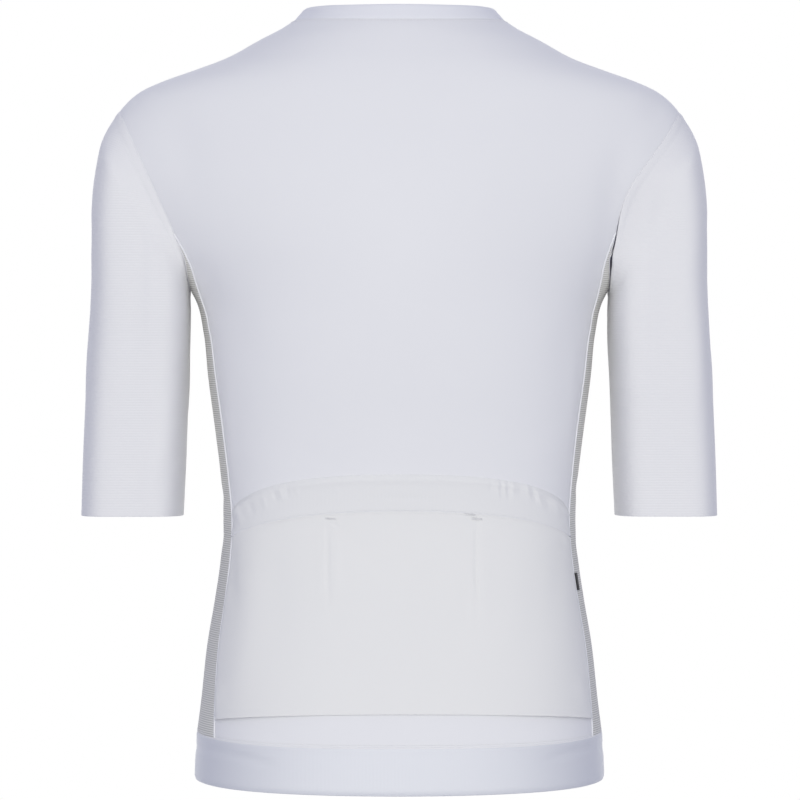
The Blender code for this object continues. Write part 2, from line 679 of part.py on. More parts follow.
def make_side_panels(side_back, side_front):
    """The mesh panels under the arms, each ending in a horn either side of the armpit."""
    half = SEAM_GAP / 2
    edges = [
        Edge(hem_run(side_front[0, 0], side_back[0, 0]), half),
        Edge(side_back, half),
        Edge(armhole_run(HORN_BACK_COLUMN, HORN_FRONT_COLUMN), 0.0),
        Edge(side_front[::-1], half),
    ]
    sheet, _ = panel_sheet(edges)
    wall("side_left", sheet, "grey_mesh", CLOTH)
    wall("side_right", mirror_sheet(sheet), "grey_mesh", CLOTH)


def make_sleeves():
    """The sleeves, from the armhole down to the plain cuff."""
    grid = sleeve_grid(CAP_ROWS, SLEEVE_ROWS)
    points, faces = tube_mesh(grid, CLOTH)
    make_object("sleeve_left", points, faces, "white_knit")
    flipped = [face[::-1] for face in faces]
    make_object("sleeve_right", points * np.array([-1.0, 1.0, 1.0]), flipped, "white_knit")


def collar_surface(angle, share):
    """Points of the collar's outer face, from the neck (share 0) to its upper edge (1)."""
    low = np.array(TORSO[-1], float)
    ring = low + (np.array(COLLAR_TOP, float) - low) * np.asarray(share, float)[..., None]
    return ring_points(ring, np.asarray(angle, float))


def make_collar(shoulder):
    """The low collar, open at the zip."""
    seam = shoulder[-1, 0]
    zip_angle = float(angle_at_front(NECK, TAPE_HALF))
    runs = [level_run(zip_angle, seam, NECK), level_run(seam, math.pi - seam, NECK)[1:],
            level_run(math.pi - seam, math.pi - zip_angle, NECK)[1:]]
    angle = np.concatenate(runs)[:, 0]
    angle[0] = angle_at_front(NECK, TAPE_HALF + SEAM_GAP / 2)
    angle[-1] = math.pi - angle[0]
    foot = SEAM_GAP / (COLLAR_TOP.back_z - TORSO[-1].back_z)
    angle, share = np.meshgrid(angle, np.linspace(foot, 1.0, COLLAR_ROWS + 1))
    normals = outward(collar_surface, angle, share, TURN_STEP, SHARE_STEP)
    sheet = grid_sheet(collar_surface(angle, share), normals)
    wall("collar", sheet, "white_elastic", ELASTIC)


def make_hem_band():
    """The wide elastic band round the hem, open at the zip."""
    rows = []
    for share in (0.0, 0.5, 1.0):
        level = share * (float(height_at_side(HEM_SEAM_Z)) - SEAM_GAP / 2)
        zip_angle = float(angle_at_front(level, TAPE_HALF + SEAM_GAP / 2))
        row = hem_run(zip_angle, math.pi - zip_angle)
        row[:, 1] = share * (row[:, 1] - SEAM_GAP / 2)
        rows.append(row)
    flat = np.array(rows)
    points = torso(flat[..., 0], flat[..., 1])
    sheet = grid_sheet(points, torso_normal(flat[..., 0], flat[..., 1]))
    wall("hem_band", sheet, "white_elastic", ELASTIC)


def make_zip_tapes():
    """The two tapes of the closed zip, from the hem to the top of the collar."""
    heights = spaced(0.0, NECK, EDGE_STEP)
    points, normals = [], []
    for x in (SEAM_GAP / 2, TAPE_HALF - SEAM_GAP / 2):
        angle = angle_at_front(heights, x)
        at_collar = np.full(COLLAR_ROWS, angle[-1])
        share = np.linspace(0.0, 1.0, COLLAR_ROWS + 1)[1:]
        points.append(np.concatenate([torso(angle, heights), collar_surface(at_collar, share)]))
        above = outward(collar_surface, at_collar, share, TURN_STEP, SHARE_STEP)
        normals.append(np.concatenate([torso_normal(angle, heights), above]))
    sheet = grid_sheet(np.stack(points, axis=1), np.stack(normals, axis=1))
    wall("zip_tape_left", sheet, "white_zip", CLOTH)
    wall("zip_tape_right", mirror_sheet(sheet), "white_zip", CLOTH)


def make_side_tab(side_back):
    """A small plain tab lying on the right side panel, sewn into its back seam."""
    top, foot = height_at_side([TAB_TOP_Z, TAB_BOTTOM_Z])
    height = np.linspace(foot, top, 3)
    seam = np.interp(height, side_back[:, 1], side_back[:, 0])
    wide = np.linspace(-TAB_WIDTH, -SEAM_GAP, 3) / DOMAIN_RADIUS
    flat_angle = seam[:, None] + wide[None]
    flat_height = np.broadcast_to(height[:, None], flat_angle.shape)
    sheet = grid_sheet(torso(flat_angle, flat_height), torso_normal(flat_angle, flat_height))
    wall("side_tab", mirror_sheet(sheet), "black_tape", TAB_THICKNESS,
         2 * SEAM_GAP + TAB_THICKNESS)


def extruded(outline, holes, low, high):
    """A bmesh of an outline, with holes, drawn in its x and y and given a depth in z."""
    built = bmesh.new()
    rings = []
    for ring in [outline] + holes:
        vertices = [built.verts.new((x, y, low)) for x, y in ring]
        rings += [built.edges.new((a, b)) for a, b in zip(vertices, vertices[1:] + vertices[:1])]
    bmesh.ops.triangle_fill(built, use_beauty=True, edges=rings)
    faces = built.faces[:]
    raised = bmesh.ops.extrude_face_region(built, geom=faces)["geom"]
    bmesh.ops.translate(built, vec=(0.0, 0.0, high - low),
                        verts=[v for v in raised if isinstance(v, bmesh.types.BMVert)])
    bmesh.ops.recalc_face_normals(built, faces=built.faces[:])
    return built


def placed(name, built, slot, matrix):
    """A bmesh made in millimetres, as an object at a place given in metres."""
    bmesh.ops.scale(built, vec=(MM, MM, MM), verts=built.verts[:])
    mesh = bpy.data.meshes.new(name)
    built.to_mesh(mesh)
    built.free()
    mesh.materials.append(material(slot))
    made = bpy.data.objects.new(name, mesh)
    made.matrix_world = matrix
    bpy.context.collection.objects.link(made)
    return made


def slider_place():
    """Where the slider sits on the collar's front: a matrix whose z axis points outwards."""
    angle, share = np.array(-math.pi / 2), np.array(SLIDER_SHARE)
    point = collar_surface(angle, share)
    outwards = Vector(outward(collar_surface, angle, share, TURN_STEP, SHARE_STEP))
    right = Vector((1.0, 0.0, 0.0))
    upwards = outwards.cross(right)
    turn = Matrix((right, upwards, outwards)).transposed().to_4x4()
    return Matrix.Translation(Vector(point) * MM) @ turn


def make_slider():
    """The zip's slider: a shield-shaped plate with a bridge that the pull hangs from."""
    half, length = SLIDER_WIDTH / 2, SLIDER_LENGTH / 2
    plate = [(-half, length - 3), (-half + 1.5, length), (half - 1.5, length), (half, length - 3),
             (half - 1.2, -length + 1), (half - 2.2, -length), (-half + 2.2, -length),
             (-half + 1.2, -length + 1)]
    plate = extruded(plate[::-1], [], SEAM_GAP, SEAM_GAP + SLIDER_HEIGHT)
    slider = placed("zip_slider", plate, "zip_metal", slider_place())

    foot, top = SEAM_GAP + SLIDER_HEIGHT - 0.4, HINGE_RISE + BRIDGE_CLEARANCE + BRIDGE_BAR
    reach, window = BRIDGE_REACH, BRIDGE_REACH - BRIDGE_BAR
    arch = [(-reach, foot), (-reach, top - 0.6), (-reach + 0.6, top), (reach - 0.6, top),
            (reach, top - 0.6), (reach, foot), (window, foot), (window, top - BRIDGE_BAR),
            (-window, top - BRIDGE_BAR), (-window, foot)]
    across = Matrix(((0, 0, 1, 0), (1, 0, 0, 0), (0, 1, 0, 0), (0, 0, 0, 1)))
    bridge = extruded(arch, [], -BRIDGE_WIDTH / 2, BRIDGE_WIDTH / 2)
    bridge = placed("slider_bridge", bridge, "zip_metal", slider_place() @ across)
    bridge.hide_render = True
    bridge.display_type = "WIRE"
    union = slider.modifiers.new("bridge", "BOOLEAN")
    union.operation = "UNION"
    union.object = bridge


def make_pull():
    """The zip's pull: a plate whose upper bar passes under the slider's bridge."""
    half, bar = PULL_WIDTH / 2, PULL_BAR / 2
    outline = [(-half, bar - 0.5), (-half + 0.5, bar), (half - 0.5, bar), (half, bar - 0.5),
               (half, -PULL_LENGTH + 2), (half - 1.5, -PULL_LENGTH), (-half + 1.5, -PULL_LENGTH),
               (-half, -PULL_LENGTH + 2)]
    side = PULL_HOLE_WIDTH / 2
    hole = [(-side, -bar), (side, -bar), (side, -bar - PULL_HOLE_LENGTH),
            (-side, -bar - PULL_HOLE_LENGTH)]
    plate = extruded(outline, [hole], -PULL_THICKNESS / 2, PULL_THICKNESS / 2)
    hinge = slider_place() @ Matrix.Translation((0.0, 0.0, HINGE_RISE * MM))
    lift = Matrix.Rotation(math.radians(-PULL_LIFT), 4, "X")
    placed("zip_pull", plate, "zip_metal", hinge @ lift)


def build():
    """The whole jersey."""
    for old in list(bpy.data.objects):
        bpy.data.objects.remove(old, do_unlink=True)
    side_back, side_front = side_seam("back_y"), side_seam("front_y")
    shoulder = shoulder_seam()
    make_back(side_back, shoulder)
    make_fronts(side_front, shoulder)
    make_side_panels(side_back, side_front)
    make_sleeves()
    make_collar(shoulder)
    make_hem_band()
    make_zip_tapes()
    make_side_tab(side_back)
    make_slider()
    make_pull()


build()
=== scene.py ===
"""The looks of the cycling jersey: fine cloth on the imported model's own form, with its seams,
stitching, zip and creases, in a pale studio.

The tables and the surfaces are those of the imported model, in millimetres. A point on the torso
is named by its angle round the body (0 at the wearer's left side, 90 degrees at the centre back)
and by its height along the rings. Each piece of cloth is a thin shell whose outer face follows
that surface, raised and lowered by the creases in the tables below. Meshes are in metres.
"""

import math
from collections import namedtuple
from functools import partial

import bpy
import numpy as np
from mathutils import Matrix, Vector
from mathutils.geometry import delaunay_2d_cdt
from mathutils.kdtree import KDTree


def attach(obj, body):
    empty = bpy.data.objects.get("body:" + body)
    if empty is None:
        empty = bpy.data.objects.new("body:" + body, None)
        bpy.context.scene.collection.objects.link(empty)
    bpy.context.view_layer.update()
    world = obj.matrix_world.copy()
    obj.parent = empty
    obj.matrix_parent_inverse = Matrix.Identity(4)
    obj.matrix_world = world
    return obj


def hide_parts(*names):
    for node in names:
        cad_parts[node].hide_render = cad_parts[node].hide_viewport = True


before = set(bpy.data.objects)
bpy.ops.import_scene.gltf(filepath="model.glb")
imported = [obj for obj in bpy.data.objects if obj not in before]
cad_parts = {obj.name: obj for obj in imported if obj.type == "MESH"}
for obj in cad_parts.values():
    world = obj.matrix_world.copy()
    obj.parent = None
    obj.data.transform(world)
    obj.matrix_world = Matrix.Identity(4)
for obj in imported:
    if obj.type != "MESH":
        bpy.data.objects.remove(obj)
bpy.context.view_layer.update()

MM = 0.001

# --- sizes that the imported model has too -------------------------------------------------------

SEAM_GAP = 0.3          # clearance between two pieces that are sewn together
HEM_SEAM_Z = -612.0     # seam between the panels and the hem band
HEM_SIDE_RISE = 5.5     # how much higher that seam is at the sides
DOMAIN_RADIUS = 150.0   # turns the angle into a length when a panel is filled
SHOULDER_NECK_TURN = -24.0  # degrees, where the shoulder seam meets the neck
ARMHOLE_TOP_X = 241.0
ARMHOLE_TOP_Z = -74.0
ARMHOLE_LEAN = 0.46     # millimetres inwards for each millimetre down
ARMHOLE_FOOT_Z = -227.0
SCOOP_START_Z = -198.0
TAPE_HALF = 5.0         # from the centre line to the front panel's edge
SLIDER_SHARE = 0.45     # the slider's place between the collar's foot and its upper edge
SLIDER_LENGTH = 11.0
TAB_TOP_Z = -469.5
TAB_BOTTOM_Z = -484.0
TAB_WIDTH = 7.0
CAP_PULL = 38.0         # how far the sleeve goes on in line with the body before it turns
CAP_SHARE = 0.75        # how soon, round the armhole, that gives way to a straight run

# --- sizes of the fine cloth ---------------------------------------------------------------------

CLOTH = 0.9             # wall of the knitted cloth
ELASTIC = 1.2           # wall of the hem band, the pocket band and the collar
EDGE_STEP = 3.0         # spacing of the points along a panel's edges
SLEEVE_COLUMNS = 160    # points round the armhole and the sleeve
SHOULDER_SEAM_COLUMN = 150  # armhole point where the shoulder seam ends
HORN_BACK_COLUMN = 55   # armhole point where the back seam of the side panel ends
HORN_FRONT_COLUMN = 105     # the same at the front
ARMHOLE_SAMPLES = 400
POCKET_POINTS = 121     # points along each of the pocket's long edges
SLEEVE_FLAT = 0.55      # how much flatter than round the sleeve's back and front are
CAP_ROWS = 36           # rows between the armhole and the first section
CAP_BLEND_ROWS = 16     # rows past it over which the two are blended
CAP_BLEND_PASSES = 30
SLEEVE_ROWS = 92        # rows from the first section to the cuff
COLLAR_ROWS = 12
HEM_ROWS = 18
HEM_COLUMNS = 340
TURN_STEP = 0.004       # radians between the points that give a slope round the body
HEIGHT_STEP = 0.5       # the same up the body
SHARE_STEP = 0.02       # the same up the collar, as a share of its height
COLLAR_ROUND = 75.0     # turns the angle round the collar into a length
COLLAR_TALL = 14.0      # and the share of its height
SLEEVE_ROUND = 47.0     # turns the angle round a sleeve into a length

Ring = namedtuple("Ring", "side_x side_z back_y back_z front_y front_z square")
TORSO = [
    Ring(176.5, -648.5, 112.0, -652.5, -103.0, -650.0, 0.020),
    Ring(174.6, -612.0, 112.0, -612.0, -104.0, -612.0, 0.020),
    Ring(170.7, -580.0, 109.0, -580.0, -105.0, -580.0, 0.020),
    Ring(165.0, -529.0, 100.0, -529.0, -104.0, -529.0, 0.020),
    Ring(159.0, -494.0, 93.0, -494.0, -102.5, -494.0, 0.020),
    Ring(154.0, -460.0, 87.0, -460.0, -101.0, -460.0, 0.020),
    Ring(151.5, -425.0, 84.0, -425.0, -100.5, -425.0, 0.020),
    Ring(153.5, -390.0, 87.0, -390.0, -102.5, -390.0, 0.020),
    Ring(158.5, -348.0, 94.0, -348.0, -107.0, -348.0, 0.018),
    Ring(164.8, -300.0, 104.0, -300.0, -112.0, -300.0, 0.015),
    Ring(168.5, -264.0, 109.5, -264.0, -115.5, -264.0, 0.010),
    Ring(175.2, -236.0, 112.5, -236.0, -118.0, -236.0, 0.000),
    Ring(188.6, -215.0, 114.0, -215.0, -118.0, -217.0, -0.010),
    Ring(212.0, -190.0, 114.5, -190.0, -116.5, -196.0, -0.020),
    Ring(238.0, -160.0, 113.5, -161.0, -113.0, -171.0, -0.030),
    Ring(256.0, -125.0, 110.0, -128.0, -107.0, -145.0, -0.036),
    Ring(252.0, -95.0, 105.0, -104.0, -100.5, -125.0, -0.036),
    Ring(241.0, -74.0, 100.0, -86.0, -95.0, -110.0, -0.032),
    Ring(225.5, -58.5, 95.5, -69.0, -90.0, -98.0, -0.024),
    Ring(204.0, -48.0, 90.0, -52.0, -85.0, -86.0, -0.014),
    Ring(177.0, -38.5, 84.0, -37.0, -81.0, -76.0, -0.006),
    Ring(148.0, -27.5, 77.0, -23.5, -76.5, -66.5, 0.000),
    Ring(120.0, -12.0, 69.5, -10.0, -71.5, -57.0, 0.000),
    Ring(100.0, -1.5, 65.0, -3.0, -69.0, -51.0, 0.000),
    Ring(90.5, 5.0, 62.0, 1.0, -67.0, -46.0, 0.000),
]
COLLAR_TOP = Ring(81.5, 14.0, 57.0, 14.0, -63.5, -33.0, 0.000)

SideSeam = namedtuple("SideSeam", "z back_y front_y")
SIDE_SEAMS = [
    SideSeam(-612.0, 50.0, -43.0),
    SideSeam(-580.0, 43.5, -38.0),
    SideSeam(-529.0, 37.5, -32.5),
    SideSeam(-476.0, 32.5, -28.0),
    SideSeam(-432.0, 30.5, -27.0),
    SideSeam(-388.0, 30.3, -29.0),
    SideSeam(-344.0, 33.0, -31.5),
    SideSeam(-310.0, 34.2, -34.0),
    SideSeam(-279.0, 33.2, -36.5),
    SideSeam(-253.0, 30.5, -39.5),
    SideSeam(-237.0, 29.5, -42.0),
    SideSeam(-223.0, 36.0, -45.0),
    SideSeam(-210.0, 43.0, -47.0),
    SideSeam(-197.0, 47.5, -49.0),
]

PocketEdge = namedtuple("PocketEdge", "centre_z side_drop power")
POCKET_TOP = PocketEdge(-384.0, 31.0, 2.3)
POCKET_BAND_SEAM = PocketEdge(-414.5, 23.5, 2.0)
POCKET_FOOT = PocketEdge(-584.2, 8.8, 2.0)

Section = namedtuple("Section", "outer_x outer_z inner_x inner_z back_y front_y")
SLEEVE = [
    Section(258.5, -108.0, 180.0, -234.0, 52.0, -57.0),
    Section(264.0, -140.0, 179.6, -244.0, 53.0, -59.0),
    Section(265.3, -178.0, 179.8, -257.0, 53.0, -60.0),
    Section(265.0, -218.0, 180.3, -274.0, 52.0, -60.0),
    Section(267.0, -262.0, 181.2, -298.0, 50.0, -59.5),
    Section(269.8, -315.0, 182.4, -332.0, 48.5, -59.0),
    Section(272.2, -368.0, 183.8, -375.0, 47.5, -58.5),
    Section(273.8, -420.5, 186.0, -420.5, 46.5, -58.0),
]

# A crease runs between two points seen from one side of the body: across is x in the views from
# the back and the front, and y in the views from the left and the right. It bows sideways by
# bow, is a soft ridge where lift is positive and a trough where it is negative, and dies away
# at both ends.
Crease = namedtuple("Crease", "view across z to_across to_z bow width lift")


def creases(view, rows):
    """Creases seen in one view, from rows of across, z, to_across, to_z, bow, width and lift."""
    return [Crease(view, *row) for row in rows]


BODY_CREASES = (creases("back", [
    (176, -196, 158, -262, -5, 9.0, -0.9),
    (168, -214, 128, -300, -8, 15.0, -0.8),
    (-180, -188, -160, -262, 4, 9.0, -0.9),
    (-170, -212, -136, -318, 9, 14.0, -0.7),
    (146, -300, 141, -392, 2, 5.0, 0.5),
    (-147, -276, -142, -372, -2, 5.0, 0.5),
    (-190, -96, -178, -216, 2, 15.0, -2.6),
    (-230, -54, -208, -84, 0, 8.0, -1.0),
    (196, -70, 176, -150, -2, 16.0, -1.2),
    (118, -352, 60, -366, 4, 12.0, -0.4),
    (-132, -340, -84, -358, -3, 10.0, -0.35),
    (70, -28, 24, -52, 3, 9.0, -0.35),
    (-64, -30, -30, -60, -3, 8.0, -0.3),
    (150, -596, 96, -603, -2, 5.0, -0.4),
    (-128, -600, -86, -604, 2, 5.0, -0.35),
]) + creases("front", [
    (182, -204, 122, -246, 8, 10.0, -1.8),
    (176, -222, 112, -292, 10, 12.0, -1.5),
    (168, -180, 118, -186, 4, 11.0, -1.05),
    (-184, -198, -116, -238, -9, 10.0, -1.95),
    (-174, -226, -126, -306, -9, 12.0, -1.35),
    (-170, -176, -112, -196, -4, 12.0, -0.9),
    (138, -398, 64, -414, 5, 11.0, -1.2),
    (141, -436, 78, -442, -4, 9.0, -0.9),
    (-139, -408, -58, -426, -5, 11.0, -1.35),
    (-143, -452, -92, -450, 4, 9.0, -0.75),
    (8, -96, 30, -101, 1, 6.0, 0.75),
    (8, -139, 34, -137, 1, 7.0, -0.75),
    (8, -187, 27, -190, 0, 6.0, 0.6),
    (8, -246, 33, -243, 1, 8.0, -0.75),
    (8, -291, 25, -294, 0, 6.0, 0.6),
    (8, -352, 36, -356, 2, 8.0, -0.9),
    (8, -398, 30, -396, 0, 6.0, 0.75),
    (8, -447, 38, -451, 1, 7.0, -0.9),
    (8, -503, 26, -500, 0, 7.0, 0.6),
    (8, -561, 31, -564, 1, 7.0, -0.6),
    (-8, -112, -31, -110, 1, 6.0, -0.75),
    (-8, -163, -28, -167, 0, 6.0, 0.75),
    (-8, -214, -35, -211, 1, 8.0, -0.75),
    (-8, -268, -26, -271, 0, 6.0, 0.6),
    (-8, -319, -33, -316, 1, 7.0, -0.75),
    (-8, -377, -37, -381, 2, 7.0, -0.9),
    (-8, -424, -29, -421, 0, 6.0, 0.75),
    (-8, -478, -35, -482, 1, 8.0, -0.75),
    (-8, -537, -27, -534, 0, 7.0, 0.6),
]) + creases("left", [
    (-22, -402, 20, -410, 3, 8.0, -0.9),
    (-20, -440, 18, -436, -3, 8.0, -0.75),
]) + creases("right", [
    (-18, -394, 22, -404, 3, 8.0, -0.9),
    (-24, -448, 14, -442, -3, 9.0, -0.75),
]))
SLEEVE_CREASES = (creases("back", [
    (214, -150, 213, -268, -2, 5.5, 0.9),
    (234, -196, 236, -330, 3, 9.0, 0.6),
    (198, -352, 215, -412, 4, 8.0, 1.2),
    (246, -120, 226, -176, -5, 9.0, -0.6),
    (192, -250, 196, -318, 2, 8.0, -0.6),
    (-212, -138, -211, -300, 2, 5.0, 0.7),
    (-254, -232, -255, -326, -2, 6.0, 0.8),
    (-232, -186, -236, -262, 3, 9.0, -0.6),
    (-200, -300, -222, -384, -5, 9.0, 0.7),
    (-246, -118, -224, -172, 5, 9.0, -0.6),
]) + creases("front", [
    (190, -262, 226, -300, 6, 8.0, -1.65),
    (188, -290, 214, -346, 5, 8.0, -1.2),
    (228, -170, 234, -262, 4, 9.0, 1.2),
    (248, -128, 216, -196, -5, 10.0, -1.35),
    (204, -338, 226, -404, 4, 8.0, 1.35),
    (-190, -256, -222, -286, -5, 8.0, -1.5),
    (-187, -300, -218, -352, -6, 8.0, -1.35),
    (-232, -176, -228, -252, -3, 9.0, 1.2),
    (-250, -132, -218, -202, 6, 10.0, -1.2),
    (-206, -352, -232, -398, -4, 8.0, 1.2),
]) + creases("left", [
    (-20, -150, 12, -196, 4, 12.0, -0.9),
    (-10, -250, 22, -318, -5, 13.0, 0.9),
]) + creases("right", [
    (16, -160, -18, -214, 4, 12.0, -0.9),
    (12, -278, -16, -336, -5, 13.0, 0.9),
]))
POCKET_CREASES = (creases("back", [
    (61, -424, 60, -500, 1, 1.5, -0.8),
    (55, -424, 54, -496, 0, 4.5, 0.45),
    (50, -430, 12, -484, -5, 9.0, -0.5),
    (67, -424, 67, -520, 0, 5.0, 0.35),
    (-63.5, -420, -64, -512, 0.6, 1.1, -1.0),
    (-70, -422, -71, -510, 0, 5.0, 0.3),
    (-56, -470, -52, -516, 1, 6.0, -0.5),
    (57, -426, 53, -427, 0, 1.6, -0.8),
    (-66, -423, -56, -421, 0, 1.6, -0.8),
    (141, -436, 139, -500, 2, 5.0, -0.9),
    (126, -430, 140, -585, -4, 14.0, 1.3),
    (-143, -432, -150, -441, 0, 2.4, -0.9),
    (-138, -434, -145, -446, 1, 2.4, 0.6),
    (-132, -440, -126, -520, -4, 8.0, -0.5),
    (100, -430, 96, -540, 6, 12.0, -0.5),
    (-112, -452, -104, -548, -6, 12.0, -0.4),
    (150, -560, 158, -582, 0, 5.0, 0.7),
    (-150, -556, -158, -580, 0, 5.0, 0.7),
]))
BAND_CREASES = (creases("back", [
    (-75, -386, -76, -400, 0, 1.6, -0.35),
    (-81, -387, -82, -405, 0, 1.7, 0.55),
    (-84, -387, -85, -404, 0, 1.5, -0.5),
    (-87, -388, -88, -404, 0, 1.5, 0.5),
    (-90, -388, -91, -406, 0, 1.7, -0.6),
    (-94, -389, -95, -402, 0, 1.6, 0.5),
    (-100, -391, -101, -404, 0, 2.2, -0.35),
    (-107, -391, -109, -406, 1, 1.8, 0.6),
    (-111, -394, -115, -408, 1, 1.9, -0.6),
    (-115, -397, -120, -412, 1, 2.0, 0.6),
    (-122, -400, -126, -416, 0, 2.4, -0.4),
    (-130, -404, -134, -420, 0, 2.6, 0.5),
    (-141, -408, -145, -430, 0, 2.2, -0.8),
    (145, -411, 141, -434, 0, 2.4, -1.0),
    (139, -410, 134, -428, 0, 2.6, 0.6),
    (128, -404, 124, -420, 0, 2.6, -0.4),
    (116, -400, 113, -414, 0, 2.2, 0.4),
    (107, -396, 104, -408, 0, 1.8, -0.5),
    (102, -395, 99, -406, 0, 1.6, 0.45),
    (96, -392, 94, -405, 0, 1.7, -0.45),
    (88, -391, 87, -402, 0, 1.8, 0.3),
    (52, -388, 51, -398, 0, 1.7, -0.3),
    (20, -404, -26, -404, 0, 3.0, -0.3),
]))
HEM_CREASES = (creases("back", [
    (176, -617, 104, -628, -2, 2.4, -1.5),
    (-174, -616, -118, -625, 2, 2.4, -1.3),
]) + creases("front", [
    (172, -618, 96, -624, 2, 3.2, -0.7),
    (-170, -618, -88, -625, -2, 3.2, -0.7),
]) + creases("left", [
    (-40, -619, 44, -620, 0, 3.2, -0.8),
]) + creases("right", [
    (-44, -619, 40, -620, 0, 3.2, -0.7),
]))


# --- curves through tables -------------------------------------------------------------------

def knots_along(*tracks):
    """Distance along a set of point tracks, averaged, one value for each row."""
    steps = [np.hypot(*np.diff(np.array(track), axis=0).T) for track in tracks]
    return np.concatenate([[0.0], np.cumsum(np.mean(steps, axis=0))])


def read_smoothly(knots, rows, where):
    """Columns of a table at the places asked for, on a smooth curve through its rows."""
    rows = np.asarray(rows, float)
    where = np.clip(np.asarray(where, float), knots[0], knots[-1])
    spans = np.diff(knots)
    slopes = np.diff(rows, axis=0) / spans[:, None]
    tangents = np.empty_like(rows)
    tangents[0], tangents[-1] = slopes[0], slopes[-1]
    before, after = spans[:-1, None], spans[1:, None]
    tangents[1:-1] = (slopes[:-1] * after + slopes[1:] * before) / (before + after)
    i = np.clip(np.searchsorted(knots, where, side="right") - 1, 0, len(spans) - 1)
    span = spans[i][..., None]
    t = ((where - knots[i]) / spans[i])[..., None]
    return (rows[i] * (1 + 2 * t) * (1 - t) ** 2 + rows[i + 1] * t ** 2 * (3 - 2 * t)
            + span * (tangents[i] * t * (1 - t) ** 2 + tangents[i + 1] * t ** 2 * (t - 1)))


TORSO_KNOTS = knots_along([(r.side_x, r.side_z) for r in TORSO],
                          [(r.back_y, r.back_z) for r in TORSO],
                          [(r.front_y, r.front_z) for r in TORSO])
SLEEVE_KNOTS = knots_along([(s.outer_x, s.outer_z) for s in SLEEVE])
NECK = TORSO_KNOTS[-1]


# --- the torso surface -----------------------------------------------------------------------

def ring_points(ring, angle):
    """Points at the given angles on rings given as an array with Ring's columns."""
    side_x, side_z, back_y, back_z, front_y, front_z, square = np.moveaxis(ring, -1, 0)
    sine, cosine = np.sin(angle), np.cos(angle)
    at_back = sine > 0
    x = side_x * (cosine - square * np.cos(3 * angle)) / (1 - square)
    depth = (sine + square * np.sin(3 * angle)) / (1 - square)
    y = np.where(at_back, back_y, -front_y) * depth
    z = side_z + (np.where(at_back, back_z, front_z) - side_z) * sine ** 2
    return np.stack([x, y, z], axis=-1)


def torso(angle, height):
    """Points of the torso's outer face."""
    return ring_points(read_smoothly(TORSO_KNOTS, TORSO, height), np.asarray(angle, float))


def outward(surface, a, b, step_a, step_b):
    """Unit normals of a surface, from its slopes along its two parameters."""
    along_a = surface(a + step_a, b) - surface(a - step_a, b)
    along_b = surface(a, b + step_b) - surface(a, b - step_b)
    normal = np.cross(along_a, along_b)
    return normal / np.linalg.norm(normal, axis=-1, keepdims=True)


def torso_normal(angle, height):
    height = np.clip(height, HEIGHT_STEP, NECK - HEIGHT_STEP)
    return outward(torso, angle, height, TURN_STEP, HEIGHT_STEP)


def solve(function, low, high, steps=45):
    """Where a function that falls from plus to minus crosses zero, found by halving."""
    low, high = np.array(low, float), np.array(high, float)
    for _ in range(steps):
        middle = (low + high) / 2
        positive = function(middle) > 0
        low, high = np.where(positive, middle, low), np.where(positive, high, middle)
    return (low + high) / 2


def height_at_side(z):
    """Height along the rings at which the wearer's side reaches z."""
    z = np.asarray(z, float)
    return solve(lambda h: z - torso(np.zeros_like(h), h)[..., 2], np.zeros_like(z),
                 np.full_like(z, NECK))


def height_at_back(angle, z):
    """Height along the rings at which the back reaches z at this angle."""
    angle = np.asarray(angle, float)
    return solve(lambda h: z - torso(angle, h)[..., 2], np.zeros_like(angle),
                 np.full_like(angle, NECK))


def angle_at_depth(height, y):
    """Angle, from the left side, at which the ring at this height lies at depth y."""
    turn = math.copysign(1.0, y[0])
    limit = np.full_like(height, math.pi / 2)
    return turn * solve(lambda a: np.abs(y) - np.abs(torso(turn * a, height)[..., 1]),
                        np.zeros_like(height), limit)


def angle_at_front(height, x):
    """Angle at which the front of the ring at this height lies x to the left."""
    height = np.asarray(height, float)
    start, end = np.full_like(height, -math.pi / 2), np.zeros_like(height)
    return solve(lambda a: x - torso(a, height)[..., 0], start, end)


# --- the armhole -----------------------------------------------------------------------------

def armhole_branch(turn):
    """Angle and height of the armhole's edge, from its foot to its top, at the back or front."""
    foot, scoop, top = height_at_side([ARMHOLE_FOOT_Z, SCOOP_START_Z, ARMHOLE_TOP_Z])
    sweep = np.linspace(0, math.pi, ARMHOLE_SAMPLES)
    height = (foot + top) / 2 - (top - foot) / 2 * np.cos(sweep)

    def beyond_plane(angle):
        point = torso(turn * angle, height)
        plane_x = ARMHOLE_TOP_X + ARMHOLE_LEAN * (point[:, 2] - ARMHOLE_TOP_Z)
        return point[:, 0] - plane_x

    angle = solve(beyond_plane, np.zeros_like(height), np.full_like(height, math.pi / 2))
    below = np.clip((scoop - height) / (scoop - foot), 0.0, 1.0)
    angle = angle * np.sqrt(1 - below ** 2)
    angle[0] = angle[-1] = 0.0
    return turn * angle, height


